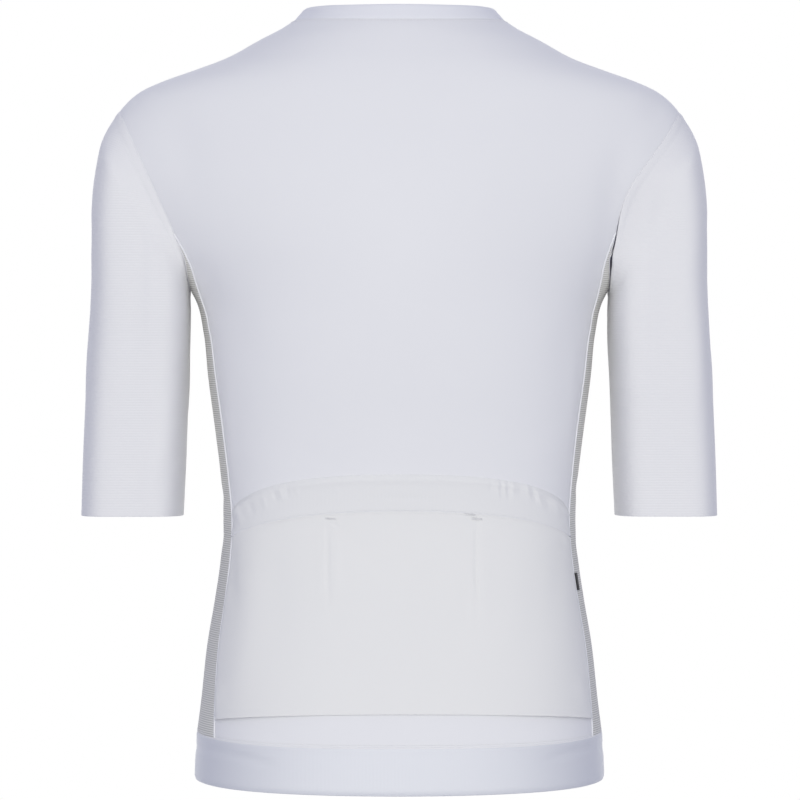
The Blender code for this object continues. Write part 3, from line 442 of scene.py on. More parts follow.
def armhole_loop():
    """Angle and height of evenly turned points round the left armhole.

    Column 0 is at the top; the columns run down the back and come up the front."""
    back_angle, back_height = armhole_branch(1)
    front_angle, front_height = armhole_branch(-1)
    angle = np.concatenate([back_angle[::-1], front_angle[1:-1]])
    height = np.concatenate([back_height[::-1], front_height[1:-1]])
    points = torso(angle, height)
    centre_x = ARMHOLE_TOP_X + ARMHOLE_LEAN * (ARMHOLE_FOOT_Z - ARMHOLE_TOP_Z) / 2
    centre_z = (ARMHOLE_TOP_Z + ARMHOLE_FOOT_Z) / 2
    up_x, up_z = Vector((ARMHOLE_LEAN, 1.0)).normalized()
    rise = (points[:, 0] - centre_x) * up_x + (points[:, 2] - centre_z) * up_z
    turn = np.unwrap(np.arctan2(points[:, 1], rise))
    turn, angle, height = (np.append(a, a[0] + extra) for a, extra in
                           ((turn, 2 * math.pi), (angle, 0.0), (height, 0.0)))
    wanted = turn[0] + SLEEVE_TURNS
    return np.stack([np.interp(wanted, turn, angle), np.interp(wanted, turn, height)], axis=1)


SLEEVE_TURNS = np.arange(SLEEVE_COLUMNS) * 2 * math.pi / SLEEVE_COLUMNS
ARMHOLE = armhole_loop()
ARMHOLE_OUT = np.array(Vector((1.0, 0.0, -ARMHOLE_LEAN)).normalized())


def sleeve_section(turn, along):
    """Points of the free sleeve: turn runs round it, along is the place down its table."""
    row = read_smoothly(SLEEVE_KNOTS, SLEEVE, along)
    outer_x, outer_z, inner_x, inner_z, back_y, front_y = np.moveaxis(row, -1, 0)
    across = (1 + np.cos(turn)) / 2
    x = inner_x + (outer_x - inner_x) * across
    z = inner_z + (outer_z - inner_z) * across
    round_it = np.sin(turn) * (1 + SLEEVE_FLAT * np.cos(turn) ** 2)
    y = (back_y + front_y) / 2 + (back_y - front_y) / 2 * round_it
    return np.stack([x, y, z], axis=-1)


def sleeve_grid(armhole):
    """Rows of points from the armhole to the cuff, on the outer face of the left sleeve."""
    turn = SLEEVE_TURNS
    edge = torso(*armhole.T)
    normal = torso_normal(*armhole.T)
    along_edge = np.roll(edge, -1, axis=0) - np.roll(edge, 1, axis=0)
    ahead = np.cross(along_edge, normal)
    ahead /= np.linalg.norm(ahead, axis=1, keepdims=True)
    keep = np.clip((1 + np.cos(turn)) * CAP_SHARE, 0.0, 1.0)[:, None]
    start = edge + SEAM_GAP * ARMHOLE_OUT
    first = sleeve_section(turn, np.zeros(SLEEVE_COLUMNS))
    reach = np.linalg.norm(first - start, axis=1, keepdims=True)
    leave = ahead * np.minimum(CAP_PULL, reach) * keep + (first - start) * (1 - keep)
    beyond = sleeve_section(turn, np.full(SLEEVE_COLUMNS, HEIGHT_STEP))
    arrive = (beyond - first) / HEIGHT_STEP * reach
    grid = []
    for t in np.arange(CAP_ROWS) / CAP_ROWS:
        grid.append(start * (1 + 2 * t) * (1 - t) ** 2 + first * t ** 2 * (3 - 2 * t)
                    + leave * t * (1 - t) ** 2 + arrive * t ** 2 * (t - 1))
    for along in np.linspace(0.0, SLEEVE_KNOTS[-1], SLEEVE_ROWS):
        grid.append(sleeve_section(turn, np.full(SLEEVE_COLUMNS, along)))
    grid = np.array(grid)
    last = CAP_ROWS + CAP_BLEND_ROWS
    for _ in range(CAP_BLEND_PASSES):
        grid[1:last] = (grid[:last - 1] + 2 * grid[1:last] + grid[2:last + 1]) / 4
    return grid


def grid_normals(grid):
    """Outward normals of a tube of points, rows from the armhole down, columns round it."""
    round_it = np.roll(grid, -1, axis=1) - np.roll(grid, 1, axis=1)
    down = np.empty_like(grid)
    down[1:-1] = grid[2:] - grid[:-2]
    down[0], down[-1] = grid[1] - grid[0], grid[-1] - grid[-2]
    normal = np.cross(down, round_it)
    return normal / np.linalg.norm(normal, axis=2, keepdims=True)


def collar_surface(angle, share):
    """Points of the collar's outer face, from the neck (share 0) to its upper edge (1)."""
    low = np.array(TORSO[-1], float)
    ring = low + (np.array(COLLAR_TOP, float) - low) * np.asarray(share, float)[..., None]
    return ring_points(ring, np.asarray(angle, float))


# --- outlines ---------------------------------------------------------------------------------

def spaced(start, end, step):
    """Evenly spaced values from start to end, about a step apart."""
    return np.linspace(start, end, max(2, int(math.ceil(abs(end - start) / step)) + 1))


def hem_height(angle):
    """Height of the hem's seam, which rises towards the sides."""
    return float(height_at_side(HEM_SEAM_Z)) + HEM_SIDE_RISE * np.cos(angle) ** 4


def hem_run(start, end):
    """Points along the hem's seam, from one angle to another."""
    angle = spaced(start, end, EDGE_STEP / DOMAIN_RADIUS)
    return np.stack([angle, hem_height(angle)], axis=1)


def side_seam(which):
    """The back or front seam of the left side panel, from the hem up to the armhole."""
    column = HORN_BACK_COLUMN if which == "back_y" else HORN_FRONT_COLUMN
    heights = height_at_side([row.z for row in SIDE_SEAMS])
    depths = np.array([getattr(row, which) for row in SIDE_SEAMS])
    angles = angle_at_depth(heights, depths)
    knots = np.append(heights, ARMHOLE[column, 1])
    angles = np.append(angles, ARMHOLE[column, 0])
    height = spaced(float(hem_height(angles[0])), knots[-1], EDGE_STEP)
    for edge in (POCKET_TOP, POCKET_BAND_SEAM, POCKET_FOOT):
        corner = float(height_at_side(edge.centre_z - edge.side_drop))
        height[np.abs(height - corner).argmin()] = corner
    angle = read_smoothly(knots, angles[:, None], height)[:, 0]
    return np.stack([angle, height], axis=1)


def armhole_run(armhole, first, last):
    """Armhole points from one column to another, counting onwards past the top."""
    return armhole[np.arange(first, last + 1) % SLEEVE_COLUMNS]


def shoulder_seam():
    """From the armhole to the neck, a little forward of the shoulder's ridge."""
    start = ARMHOLE[SHOULDER_SEAM_COLUMN]
    end = np.array([math.radians(SHOULDER_NECK_TURN), NECK])
    share = spaced(0.0, 1.0, EDGE_STEP / (NECK - start[1]))[:, None]
    return start + (end - start) * share


def centre_front(low, high):
    """Edge of the left front panel along the zip."""
    height = spaced(low, high, EDGE_STEP)
    return np.stack([angle_at_front(height, TAPE_HALF), height], axis=1)


def level_run(start, end, height):
    """Points along one ring, from one angle to another."""
    angle = spaced(start, end, EDGE_STEP / DOMAIN_RADIUS)
    return np.stack([angle, np.full_like(angle, height)], axis=1)


def on_right(points):
    """The same run on the wearer's right."""
    return np.stack([math.pi - points[:, 0], points[:, 1]], axis=1)


def round_hem(past_tape=0.0):
    """The hem's seam from the left tape of the zip, round the back, to the right one."""
    start = float(angle_at_front(float(height_at_side(HEM_SEAM_Z)), TAPE_HALF + past_tape))
    return hem_run(start, math.pi - start)


def round_neck(past_tape=0.0, below=0.0):
    """The same along the neck, or a little below it."""
    start = float(angle_at_front(NECK, TAPE_HALF + past_tape))
    return level_run(start, math.pi - start, NECK - below)


# A side's own seams, all in the left side's angles; hand is 1 for the left and -1 for the right
Side = namedtuple("Side", "hand armhole back front")
HANG_TURN = 0.048       # radians that the back's seams are turned to the wearer's right, low down
HANG_TOP_Z = -350.0
HANG_LENGTH = 230.0
PULL_TURN = 0.095       # radians that the right armhole's back edge is pulled in
PULL_Z = -150.0
PULL_REACH = 50.0
EASE_TURN = 0.026       # radians that the left back seam sits further out, below the armhole
EASE_Z = -222.0
EASE_REACH = 26.0
DRAWN_FADE = 0.25       # angle from the side within which both of these die away


def drawn(run, hand):
    """A run of one side as the cloth hangs, which is a little uneven left to right."""
    angle, height = run.T
    z = torso(angle, height)[:, 2]
    turn = HANG_TURN * hand * np.clip((HANG_TOP_Z - z) / HANG_LENGTH, 0, 1)
    if hand < 0:
        turn += PULL_TURN * np.exp(-((z - PULL_Z) / PULL_REACH) ** 2)
    else:
        turn -= EASE_TURN * np.exp(-((z - EASE_Z) / EASE_REACH) ** 2)
    return np.stack([angle + turn * np.clip(angle / DRAWN_FADE, 0, 1), height], axis=1)


def make_side(hand):
    return Side(hand, drawn(ARMHOLE, hand), drawn(side_seam("back_y"), hand),
                drawn(side_seam("front_y"), hand))


def placed(run, hand):
    """A side's run where it lies on the body, in the same direction round it."""
    return run if hand > 0 else on_right(run)[::-1]


def pocket_line(edge, left, right):
    """One of the pocket's long edges across the back, from the left seam to the right."""
    corner_height = float(height_at_side(edge.centre_z - edge.side_drop))
    start, end = (seam[np.abs(seam[:, 1] - corner_height).argmin()]
                  for seam in (left.back, right.back))
    angle = np.linspace(start[0], math.pi - end[0], POCKET_POINTS)
    reach = np.where(angle < math.pi / 2, math.pi / 2 - start[0], math.pi / 2 - end[0])
    share = np.abs(angle - math.pi / 2) / reach
    z = edge.centre_z - edge.side_drop * share ** edge.power
    line = np.stack([angle, height_at_back(angle, z)], axis=1)
    line[[0, -1], 1] = start[1], end[1]
    return line


def inside(points, outline):
    """Which points lie inside a closed outline."""
    x, y = points[:, 0][:, None], points[:, 1][:, None]
    x1, y1 = outline.T
    x2, y2 = np.roll(outline, -1, axis=0).T
    spans = (y1 > y) != (y2 > y)
    crossing = x1 + (y - y1) * (x2 - x1) / np.where(y2 == y1, 1.0, y2 - y1)
    return (spans & (x < crossing)).sum(axis=1) % 2 == 1


# --- panels ------------------------------------------------------------------------------------

Edge = namedtuple("Edge", "points gap")     # a run of (angle, height), and its clearance
Sheet = namedtuple("Sheet", "points normals triangles cloth rim")
RIM_ROWS = (1.2, 2.8, 5.2)                  # rows of points that follow a panel's rim
ROW_CLEAR = 0.85        # a row's point is dropped nearer another rim than this share of its place
GRID_CLEAR = 0.6        # the same for the points that fill a panel, as a share of their step
CHUNKS = 60             # lots that many points are tested in, to save memory
ARC_STEPS = 240
ARC_ROWS = 160
BACK_GRAIN, SIDE_GRAIN, FRONT_GRAIN = math.pi / 2, 0.0, -math.pi / 2   # where its line runs


def length_tables():
    """Lengths of cloth for a grid of heights and angles: round from the centre front, and up."""
    heights = np.linspace(0.0, NECK, ARC_ROWS)[:, None]
    angles = np.linspace(-math.pi / 2, 1.5 * math.pi, ARC_STEPS + 1)[None]
    points = torso(*np.broadcast_arrays(angles, heights))
    across = np.linalg.norm(np.diff(points, axis=1), axis=2)
    climb = np.linalg.norm(np.diff(points, axis=0), axis=2)
    return (np.concatenate([np.zeros((ARC_ROWS, 1)), np.cumsum(across, axis=1)], axis=1),
            np.concatenate([np.zeros((1, ARC_STEPS + 1)), np.cumsum(climb, axis=0)]))


LENGTH_ROUND, LENGTH_UP = length_tables()


def cloth_place(angle, height, grain):
    """Where points lie in the cloth, in metres: round the body from the grain's angle, and up."""
    row = np.clip(height / NECK, 0, 1) * (ARC_ROWS - 1)

    def read(table, at_angle):
        column = (at_angle + math.pi / 2) / (2 * math.pi) * ARC_STEPS
        i = np.clip(row.astype(int), 0, ARC_ROWS - 2)
        j = np.clip(column.astype(int), 0, ARC_STEPS - 1)
        s, t = row - i, column - j
        return ((table[i, j] * (1 - t) + table[i, j + 1] * t) * (1 - s)
                + (table[i + 1, j] * (1 - t) + table[i + 1, j + 1] * t) * s)

    across = read(LENGTH_ROUND, angle) - read(LENGTH_ROUND, np.full_like(angle, grain))
    return np.stack([across, read(LENGTH_UP, angle)], axis=-1) * MM


def tree_of(points):
    """A search tree of points, which may be flat."""
    tree = KDTree(len(points))
    for index, point in enumerate(points):
        tree.insert(tuple(point) + (0.0,) * (3 - len(point)), index)
    tree.balance()
    return tree


def nearest(tree, points):
    return np.array([tree.find(tuple(p) + (0.0,) * (3 - len(p)))[2] for p in points])


def inside_chunks(points, outline):
    return np.concatenate([inside(part, outline) for part in np.array_split(points, CHUNKS)])


def rim_inward(points, normals):
    """Unit vectors that point from a closed rim into its panel."""
    inward = np.cross(normals, np.roll(points, -1, axis=0) - np.roll(points, 1, axis=0))
    return inward / np.linalg.norm(inward, axis=1, keepdims=True)


def rim_rows(outline, points, normals):
    """Rows of (angle, height) points inside a rim, at RIM_ROWS from it on the cloth."""
    low = np.clip(outline[:, 1] - HEIGHT_STEP, 0, NECK)
    high = np.clip(outline[:, 1] + HEIGHT_STEP, 0, NECK)
    turn = (torso(outline[:, 0] + TURN_STEP, outline[:, 1]) - points) / TURN_STEP
    climb = (torso(outline[:, 0], high) - torso(outline[:, 0], low)) / (high - low)[:, None]
    inward = rim_inward(points, normals)
    tt, tc, cc = ((a * b).sum(axis=1) for a, b in ((turn, turn), (turn, climb), (climb, climb)))
    it, ic = (turn * inward).sum(axis=1), (climb * inward).sum(axis=1)
    step = np.stack([it * cc - ic * tc, ic * tt - it * tc], axis=1) / (tt * cc - tc * tc)[:, None]
    rim = tree_of(points)
    rows = []
    for distance in RIM_ROWS:
        row = outline + distance * step
        row = row[(row[:, 1] > 0) & (row[:, 1] < NECK)]
        row = row[inside_chunks(row, outline)]
        rows.append(row[nearest(rim, torso(*row.T)) > ROW_CLEAR * distance])
    return np.concatenate(rows)


def panel(edges, step, grain):
    """A panel of the torso filled with fine triangles, its rim moved in for its clearance."""
    scale = np.array([DOMAIN_RADIUS, 1.0])
    outline = np.concatenate([edge.points[:-1] for edge in edges])
    gaps = np.concatenate([np.full(len(edge.points) - 1, edge.gap) for edge in edges])
    points, normals = torso(*outline.T), torso_normal(*outline.T)
    edged = np.concatenate([outline, rim_rows(outline, points, normals)]) * scale
    low, high = edged.min(axis=0), edged.max(axis=0)
    axes = [np.arange(low[k] + step / 2, high[k], step) for k in (0, 1)]
    grid = np.stack(np.meshgrid(*axes), axis=-1).reshape(-1, 2)
    grid = grid[inside_chunks(grid, outline * scale)]
    grid = grid[nearest(tree_of(edged), grid) > GRID_CLEAR * step]
    flat = np.concatenate([edged, grid])
    count = len(outline)
    rim = [(i, (i + 1) % count) for i in range(count)]
    _, _, faces, origin, _, _ = delaunay_2d_cdt([Vector(p) for p in flat], rim, [], 1, 1e-6)
    order = np.array([source[0] for source in origin])
    triangles = order[np.array(faces)]
    flat = flat / scale
    cloth = cloth_place(*flat.T, grain)
    surface = torso(*flat.T)
    distance = nearest(tree_of(points), surface)
    surface[:count] += rim_inward(points, normals) * ((gaps + np.roll(gaps, 1)) / 2)[:, None]
    return Sheet(surface, torso_normal(*flat.T), triangles, cloth, distance)


def grid_sheet(points, normals, cloth, around=False):
    """Rows and columns of points as a sheet: rows run up, columns run round to the left."""
    rows, columns, _ = points.shape
    a = np.arange(rows * columns).reshape(rows, columns)
    b, d = np.roll(a, -1, axis=1), np.roll(a, -1, axis=0)
    c = np.roll(b, -1, axis=0)
    last = columns if around else columns - 1
    a, b, c, d = (corner[:-1, :last].ravel() for corner in (a, b, c, d))
    triangles = np.concatenate([np.stack([a, b, c], 1), np.stack([a, c, d], 1)])
    across = np.linalg.norm(np.diff(points, axis=0), axis=2)
    down = np.concatenate([np.zeros((1, columns)), np.cumsum(across, axis=0)])
    ends = np.minimum(down, down[-1] - down)
    return Sheet(points.reshape(-1, 3), normals.reshape(-1, 3), triangles,
                 cloth.reshape(-1, 2), ends.ravel())


def mirrored(sheet):
    """The same sheet on the wearer's right."""
    flip = np.array([-1.0, 1.0, 1.0])
    return sheet._replace(points=sheet.points * flip, normals=sheet.normals * flip,
                          triangles=sheet.triangles[:, ::-1],
                          cloth=sheet.cloth * np.array([-1.0, 1.0]))


# --- creases and shells --------------------------------------------------------------------------

VIEWS = {"back": ((1, 0, 0), (0, 1, 0)), "front": ((1, 0, 0), (0, -1, 0)),
         "left": ((0, 1, 0), (1, 0, 0)), "right": ((0, 1, 0), (-1, 0, 0))}
CREASE_PIECES = 10      # straight pieces that a bowed crease is measured by
CREASE_REACH = 3.0      # widths beyond which a crease has died away
CREASE_FADE = 0.7       # how blunt its two ends are
RIM_ROUND = 0.3         # how far a shell's rim bulges, as a share of its wall
ROLL_WIDTH = 1.7        # how far in from a seam the cloth starts to roll down into it


def relief(creases, points, normals):
    """How far each point is raised by a table of creases."""
    rise = np.zeros(len(points))
    for crease in creases:
        across, facing = (np.array(v, float) for v in VIEWS[crease.view])
        flat = np.stack([points @ across, points[:, 2]], axis=1)
        start = np.array([crease.across, crease.z], float)
        run = np.array([crease.to_across, crease.to_z], float) - start
        share = np.linspace(0, 1, CREASE_PIECES + 1)[:, None]
        aside = np.array([-run[1], run[0]]) / np.linalg.norm(run)
        line = start + run * share + crease.bow * np.sin(math.pi * share) * aside
        seen = normals @ facing
        reach = CREASE_REACH * crease.width
        near = ((seen > 0) & (flat > line.min(axis=0) - reach).all(axis=1)
                & (flat < line.max(axis=0) + reach).all(axis=1))
        if not near.any():
            continue
        offset = flat[near][:, None] - line[None, :-1]
        piece = np.diff(line, axis=0)
        along = np.clip((offset * piece).sum(axis=2) / (piece ** 2).sum(axis=1), 0, 1)
        gap = np.linalg.norm(offset - along[..., None] * piece, axis=2)
        closest = gap.argmin(axis=1)
        rows = np.arange(len(closest))
        place = (closest + along[rows, closest]) / CREASE_PIECES
        fade = np.sin(math.pi * np.clip(place, 0.02, 0.98)) ** CREASE_FADE
        fade *= np.clip(2 * seen[near], 0, 1)
        rise[near] += crease.lift * np.exp(-(gap[rows, closest] / crease.width) ** 2) * fade
    return rise


def body_rise(points, normals):
    return relief(BODY_CREASES, points, normals)


def roll(sheet, drop):
    """The cloth's edge rolls down into its seams."""
    return -drop * np.exp(-(sheet.rim / ROLL_WIDTH) ** 2)


def rim_loops(triangles):
    """The rims of some triangles, each as point numbers in order."""
    edges = np.concatenate([triangles[:, [0, 1]], triangles[:, [1, 2]], triangles[:, [2, 0]]])
    pairs = set(map(tuple, edges.tolist()))
    following = {a: b for a, b in pairs if (b, a) not in pairs}
    loops = []
    while following:
        start = min(following)
        loop = [start]
        while following[loop[-1]] != start:
            loop.append(following[loop[-1]])
        for point in loop:
            del following[point]
        loops.append(np.array(loop))
    return loops


def mesh_piece(name, points, triangles, material, cloth=None, around=0.0):
    """An object of triangles, given in millimetres, with its place in the cloth as a UV map."""
    mesh = bpy.data.meshes.new(name)
    mesh.from_pydata((points * MM).tolist(), [], triangles.tolist())
    mesh.materials.append(material)
    mesh.shade_smooth()
    if cloth is not None:
        corners = cloth[triangles]
        if around:
            u = corners[..., 0]
            wide = u.max(axis=1, keepdims=True) - u > around / 2
            corners[..., 0] = u + around * wide
        layer = mesh.uv_layers.new(name="cloth")
        layer.uv.foreach_set("vector", corners.astype(np.float32).ravel())
    made = bpy.data.objects.new(name, mesh)
    bpy.context.scene.collection.objects.link(made)
    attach(made, "garment")
    return made


def smooth_normals(points, triangles):
    """Normals weighted by area, so that slivers along a rim don't show."""
    a, b, c = (points[triangles[:, k]] for k in range(3))
    facing = np.cross(b - a, c - a)
    normals = np.zeros_like(points)
    for k in range(3):
        np.add.at(normals, triangles[:, k], facing)
    return normals / np.maximum(np.linalg.norm(normals, axis=1, keepdims=True), 1e-9)


def shell(name, sheet, rise, thickness, material, around=0.0):
    """A sheet given a thin wall, with round rims."""
    outer = sheet.points + rise[:, None] * sheet.normals
    inner = outer - thickness * sheet.normals
    count = len(outer)
    points, cloth = [outer, inner], [sheet.cloth, sheet.cloth]
    faces = [sheet.triangles, sheet.triangles[:, ::-1] + count]
    total = 2 * count
    for loop in rim_loops(sheet.triangles):
        inward = rim_inward(outer[loop], sheet.normals[loop])
        points.append((outer[loop] + inner[loop]) / 2 - inward * thickness * RIM_ROUND)
        cloth.append(sheet.cloth[loop])
        middle = total + np.arange(len(loop))
        total += len(loop)
        a, b, m, n = loop, np.roll(loop, -1), middle, np.roll(middle, -1)
        faces += [np.stack([b, a, m], 1), np.stack([b, m, n], 1),
                  np.stack([n, m, a + count], 1), np.stack([n, a + count, b + count], 1)]
    points, faces = np.concatenate(points), np.concatenate(faces)
    made = mesh_piece(name, points, faces, material, np.concatenate(cloth), around)
    made.data.normals_split_custom_set_from_vertices(smooth_normals(points, faces).tolist())
    return made


class Soup:
    """Many small shapes gathered into one mesh."""

    def __init__(self):
        self.points, self.faces, self.count = [], [], 0

    def add(self, points, faces):
        self.points.append(points)
        self.faces.append(np.asarray(faces) + self.count)
        self.count += len(points)

    def piece(self, name, material):
        return mesh_piece(name, np.concatenate(self.points), np.concatenate(self.faces), material)


def ridge(soup, points, normals, profile):
    """A closed section swept along a line: the profile's columns run across and outwards."""
    along = np.gradient(points, axis=0)
    along /= np.linalg.norm(along, axis=1, keepdims=True)
    side = np.cross(along, normals)
    swept = points[:, None] + side[:, None] * profile[:, :1] + normals[:, None] * profile[:, 1:]
    rows, size = len(points), len(profile)
    a = np.arange(rows * size).reshape(rows, size)
    b, d = np.roll(a, -1, axis=1), np.roll(a, -1, axis=0)
    c = np.roll(b, -1, axis=0)
    a, b, c, d = (corner[:-1].ravel() for corner in (a, b, c, d))
    fan = np.stack([np.zeros(size - 2, int), np.arange(1, size - 1), np.arange(2, size)], 1)
    last = fan[:, ::-1] + (rows - 1) * size
    soup.add(swept.reshape(-1, 3), np.concatenate([
        np.stack([a, c, b], 1), np.stack([a, d, c], 1), fan, last]))


RIDGE_SINK = 0.7        # how deep the foot of a bead or of the piping goes into the cloth


def half_round(width, height):
    """The section of a half-round ridge."""
    sweep = np.linspace(0, math.pi, 7)
    arch = np.stack([-np.cos(sweep) * width / 2, np.sin(sweep) * height], axis=1)
    foot = [[width / 2, -RIDGE_SINK], [-width / 2, -RIDGE_SINK]]
    return np.concatenate([arch, foot])[::-1]


def respaced(points, normals, pitch):
    """A line's points and normals read again at an even pitch, with the direction along it."""
    reach = np.concatenate([[0], np.cumsum(np.linalg.norm(np.diff(points, axis=0), axis=1))])
    where = np.arange(pitch / 2, reach[-1], pitch)
    read = [np.stack([np.interp(where, reach, a[:, k]) for k in range(3)], 1)
            for a in (points, normals)]
    along = np.gradient(read[0], axis=0)
    return read[0], read[1], along / np.linalg.norm(along, axis=1, keepdims=True)


def stitches(soup, points, normals, aside=0.0, pitch=2.8, length=2.1, width=0.42, lean=0.0):
    """A row of small thread stitches along a line, or beside it."""
    centre, up, along = respaced(points, normals, pitch)
    side = np.cross(along, up)
    along = along * math.cos(lean) + side * math.sin(lean)
    across = np.cross(along, up)
    centre = centre + side * aside
    shape = [(-0.5, 0, 0)] + [(end, s * 0.5, u) for end in (-0.3, 0.3) for s, u in
                              ((1, 0), (0.6, 0.5), (-0.6, 0.5), (-1, 0))] + [(0.5, 0, 0)]
    faces = [(0, 2, 1), (0, 3, 2), (0, 4, 3), (9, 5, 6), (9, 6, 7), (9, 7, 8)]
    for k in (1, 2, 3):
        faces += [(k, k + 1, k + 5), (k, k + 5, k + 4)]
    for c, a, s, u in zip(centre, along, across, up):
        soup.add(np.array([c + a * x * length + s * y * width + u * (z * width + 0.02)
                           for x, y, z in shape]), faces)


# --- materials -----------------------------------------------------------------------------------

def put(tree, socket, value):
    """Links a socket to another, or gives it a value."""
    if isinstance(value, bpy.types.NodeSocket):
        tree.links.new(value, socket)
    else:
        socket.default_value = value


def add_node(tree, kind, inputs=None, **settings):
    """A shader node's outputs; its inputs are given by name or number."""
    node = tree.nodes.new("ShaderNode" + kind)
    for key, value in settings.items():
        setattr(node, key, value)
    for key, value in (inputs or {}).items():
        put(tree, node.inputs[key], value)
    return node.outputs


class Graph:
    """A Principled material whose nodes are added one at a time."""

    def __init__(self, name, roughness, sheen=0.0, metallic=0.0):
        self.material = bpy.data.materials.new(name)
        self.material.use_nodes = True
        self.tree = self.material.node_tree
        self.shader = self.tree.nodes["Principled BSDF"]
        for socket, value in (("Roughness", roughness), ("Metallic", metallic),
                              ("Sheen Weight", sheen), ("Sheen Roughness", 0.5),
                              ("Specular IOR Level", 0.3)):
            self.shader.inputs[socket].default_value = value

    def add(self, kind, inputs=None, **settings):
        return add_node(self.tree, kind, inputs, **settings)

    def math(self, operation, a, b=0.0, c=0.0):
        return self.add("Math", {0: a, 1: b, 2: c}, operation=operation)[0]

    def cloth(self):
        """Where a point lies in the cloth, in metres: across and up."""
        split = self.add("SeparateXYZ", {0: self.add("UVMap", uv_map="cloth")[0]})
        return split[0], split[1]

    def wave(self, coordinate, pitch):
        """A sine between 0 and 1 that repeats at a pitch in millimetres."""
        turned = self.math("MULTIPLY", coordinate, 2 * math.pi / (pitch * MM))
        return self.math("MULTIPLY_ADD", self.math("SINE", turned), 0.5, 0.5)

    def noise(self, scale, detail=2.0, vector=None):
        vector = vector or self.add("TexCoord")["Object"]
        return self.add("TexNoise", {"Vector": vector, "Scale": scale, "Detail": detail})[0]

    def tone(self, low, high, share):
        """The base colour: a mix of two colours by a share that varies over the cloth."""
        mixed = self.add("Mix", {0: share, 6: (*low, 1.0), 7: (*high, 1.0)}, data_type="RGBA")[2]
        put(self.tree, self.shader.inputs["Base Color"], mixed)

    def bump(self, *layers):
        """Bump layers, each a height from 0 to 1 and its depth in millimetres."""
        below = {}
        for height, depth in layers:
            inputs = {"Height": height, "Strength": 1.0, "Distance": depth * MM, **below}
            below = {"Normal": self.add("Bump", inputs)[0]}
        put(self.tree, self.shader.inputs["Normal"], below["Normal"])
        return self.material


def knit_height(graph, wale, course):
    """Rows of small V-shaped loops, their columns a wale apart and their rows a course apart."""
    u, v = graph.cloth()
    column = graph.math("ABSOLUTE", graph.math("SINE", graph.math(
        "MULTIPLY", u, math.pi / (wale * MM))))
    row = graph.math("MULTIPLY_ADD", v, 2 * math.pi / (course * MM),
                     graph.math("MULTIPLY", column, math.pi))
    loops = graph.math("MULTIPLY_ADD", graph.math("SINE", row), 0.25, 0.25)
    return graph.math("ADD", loops, graph.math("MULTIPLY", column, 0.5))


def knit(name, low, high, roughness=0.8, sheen=0.12, rib=None):
    """Smooth fine jersey; rib gives level ribs a pitch and a depth in millimetres."""
    graph = Graph(name, roughness, sheen)
    blotch = graph.noise(7.0, 3.0)
    fuzz = graph.noise(1600.0)
    loops = knit_height(graph, 0.72, 0.62)
    share = graph.math("MULTIPLY_ADD", blotch, 0.9, graph.math("MULTIPLY", loops, 0.15))
    graph.tone(low, high, share)
    layers = [(loops, 0.030), (fuzz, 0.012)]
    if rib:
        layers.append((graph.wave(graph.cloth()[1], rib[0]), rib[1]))
    return graph.bump(*layers)


def elastic(name, low, high, roughness=0.7, sheen=0.1, satin=0.0):
    """Dense elastic knit with fine cords that run up it."""
    graph = Graph(name, roughness, sheen, satin)
    u, v = graph.cloth()
    cords, cross = graph.wave(u, 1.15), graph.wave(v, 0.6)
    blotch = graph.noise(9.0, 3.0)
    graph.tone(low, high, graph.math("MULTIPLY_ADD", blotch, 0.8, graph.math(
        "MULTIPLY", cords, 0.2)))
    return graph.bump((cords, 0.035), (cross, 0.015), (graph.noise(1400.0), 0.010))


def mesh_cloth(name):
    """Light grey mesh: level ribs of white yarn with open grey rows between them."""
    graph = Graph(name, 0.8, 0.1)
    u, v = graph.cloth()
    rib = graph.wave(v, 1.86)
    eyelet = graph.math("MULTIPLY", graph.wave(u, 1.3), graph.math("SUBTRACT", 1.0, rib))
    blotch = graph.noise(8.0)
    share = graph.math("SUBTRACT", rib, graph.math("MULTIPLY", eyelet, 0.35))
    share = graph.math("MULTIPLY_ADD", blotch, 0.2, graph.math("MULTIPLY", share, 0.9))
    graph.tone((0.50, 0.495, 0.47), (0.79, 0.785, 0.755), share)
    return graph.bump((rib, 0.09), (eyelet, 0.05), (graph.noise(1500.0), 0.015))


def thread(name, low, high, pitch=0.35):
    """Twisted thread or piping."""
    graph = Graph(name, 0.6, 0.15)
    place = graph.add("SeparateXYZ", {0: graph.add("TexCoord")["Object"]})
    twist = graph.wave(graph.math("ADD", place[2], graph.math("MULTIPLY", place[0], 0.7)), pitch)
    graph.tone(low, high, twist)
    return graph.bump((twist, 0.03))


HERRINGBONE = 2.4       # width of the tapes' herringbone


def woven_tape(name, low, high):
    """Herringbone tape."""
    graph = Graph(name, 0.65, 0.1)
    u, v = graph.cloth()
    across = graph.math("FRACT", graph.math("MULTIPLY", u, 1 / (HERRINGBONE * MM)))
    fold = graph.math("ABSOLUTE", graph.math("SUBTRACT", across, 0.5))
    rows = graph.wave(graph.math("MULTIPLY_ADD", fold, HERRINGBONE * MM, v), 0.7)
    graph.tone(low, high, rows)
    return graph.bump((rows, 0.05), (graph.noise(1500.0), 0.01))


def moulded(name, low, high):
    """Moulded nylon."""
    graph = Graph(name, 0.38)
    grain = graph.noise(900.0, 3.0)
    graph.tone(low, high, grain)
    return graph.bump((grain, 0.008))


def satin_metal(name):
    """Satin cast metal with fine brush lines and a little wear."""
    graph = Graph(name, 0.32, metallic=1.0)
    stretched = graph.add("Mapping", {0: graph.add("TexCoord")["Object"], 3: (900, 4500, 900)})[0]
    brushed = graph.noise(1.0, 3.0, stretched)
    worn = graph.noise(320.0, 4.0)
    graph.tone((0.50, 0.50, 0.52), (0.74, 0.74, 0.76), worn)
    rough = graph.add("MapRange", {0: brushed, 3: 0.24, 4: 0.42})[0]
    put(graph.tree, graph.shader.inputs["Roughness"], rough)
    return graph.bump((brushed, 0.012))


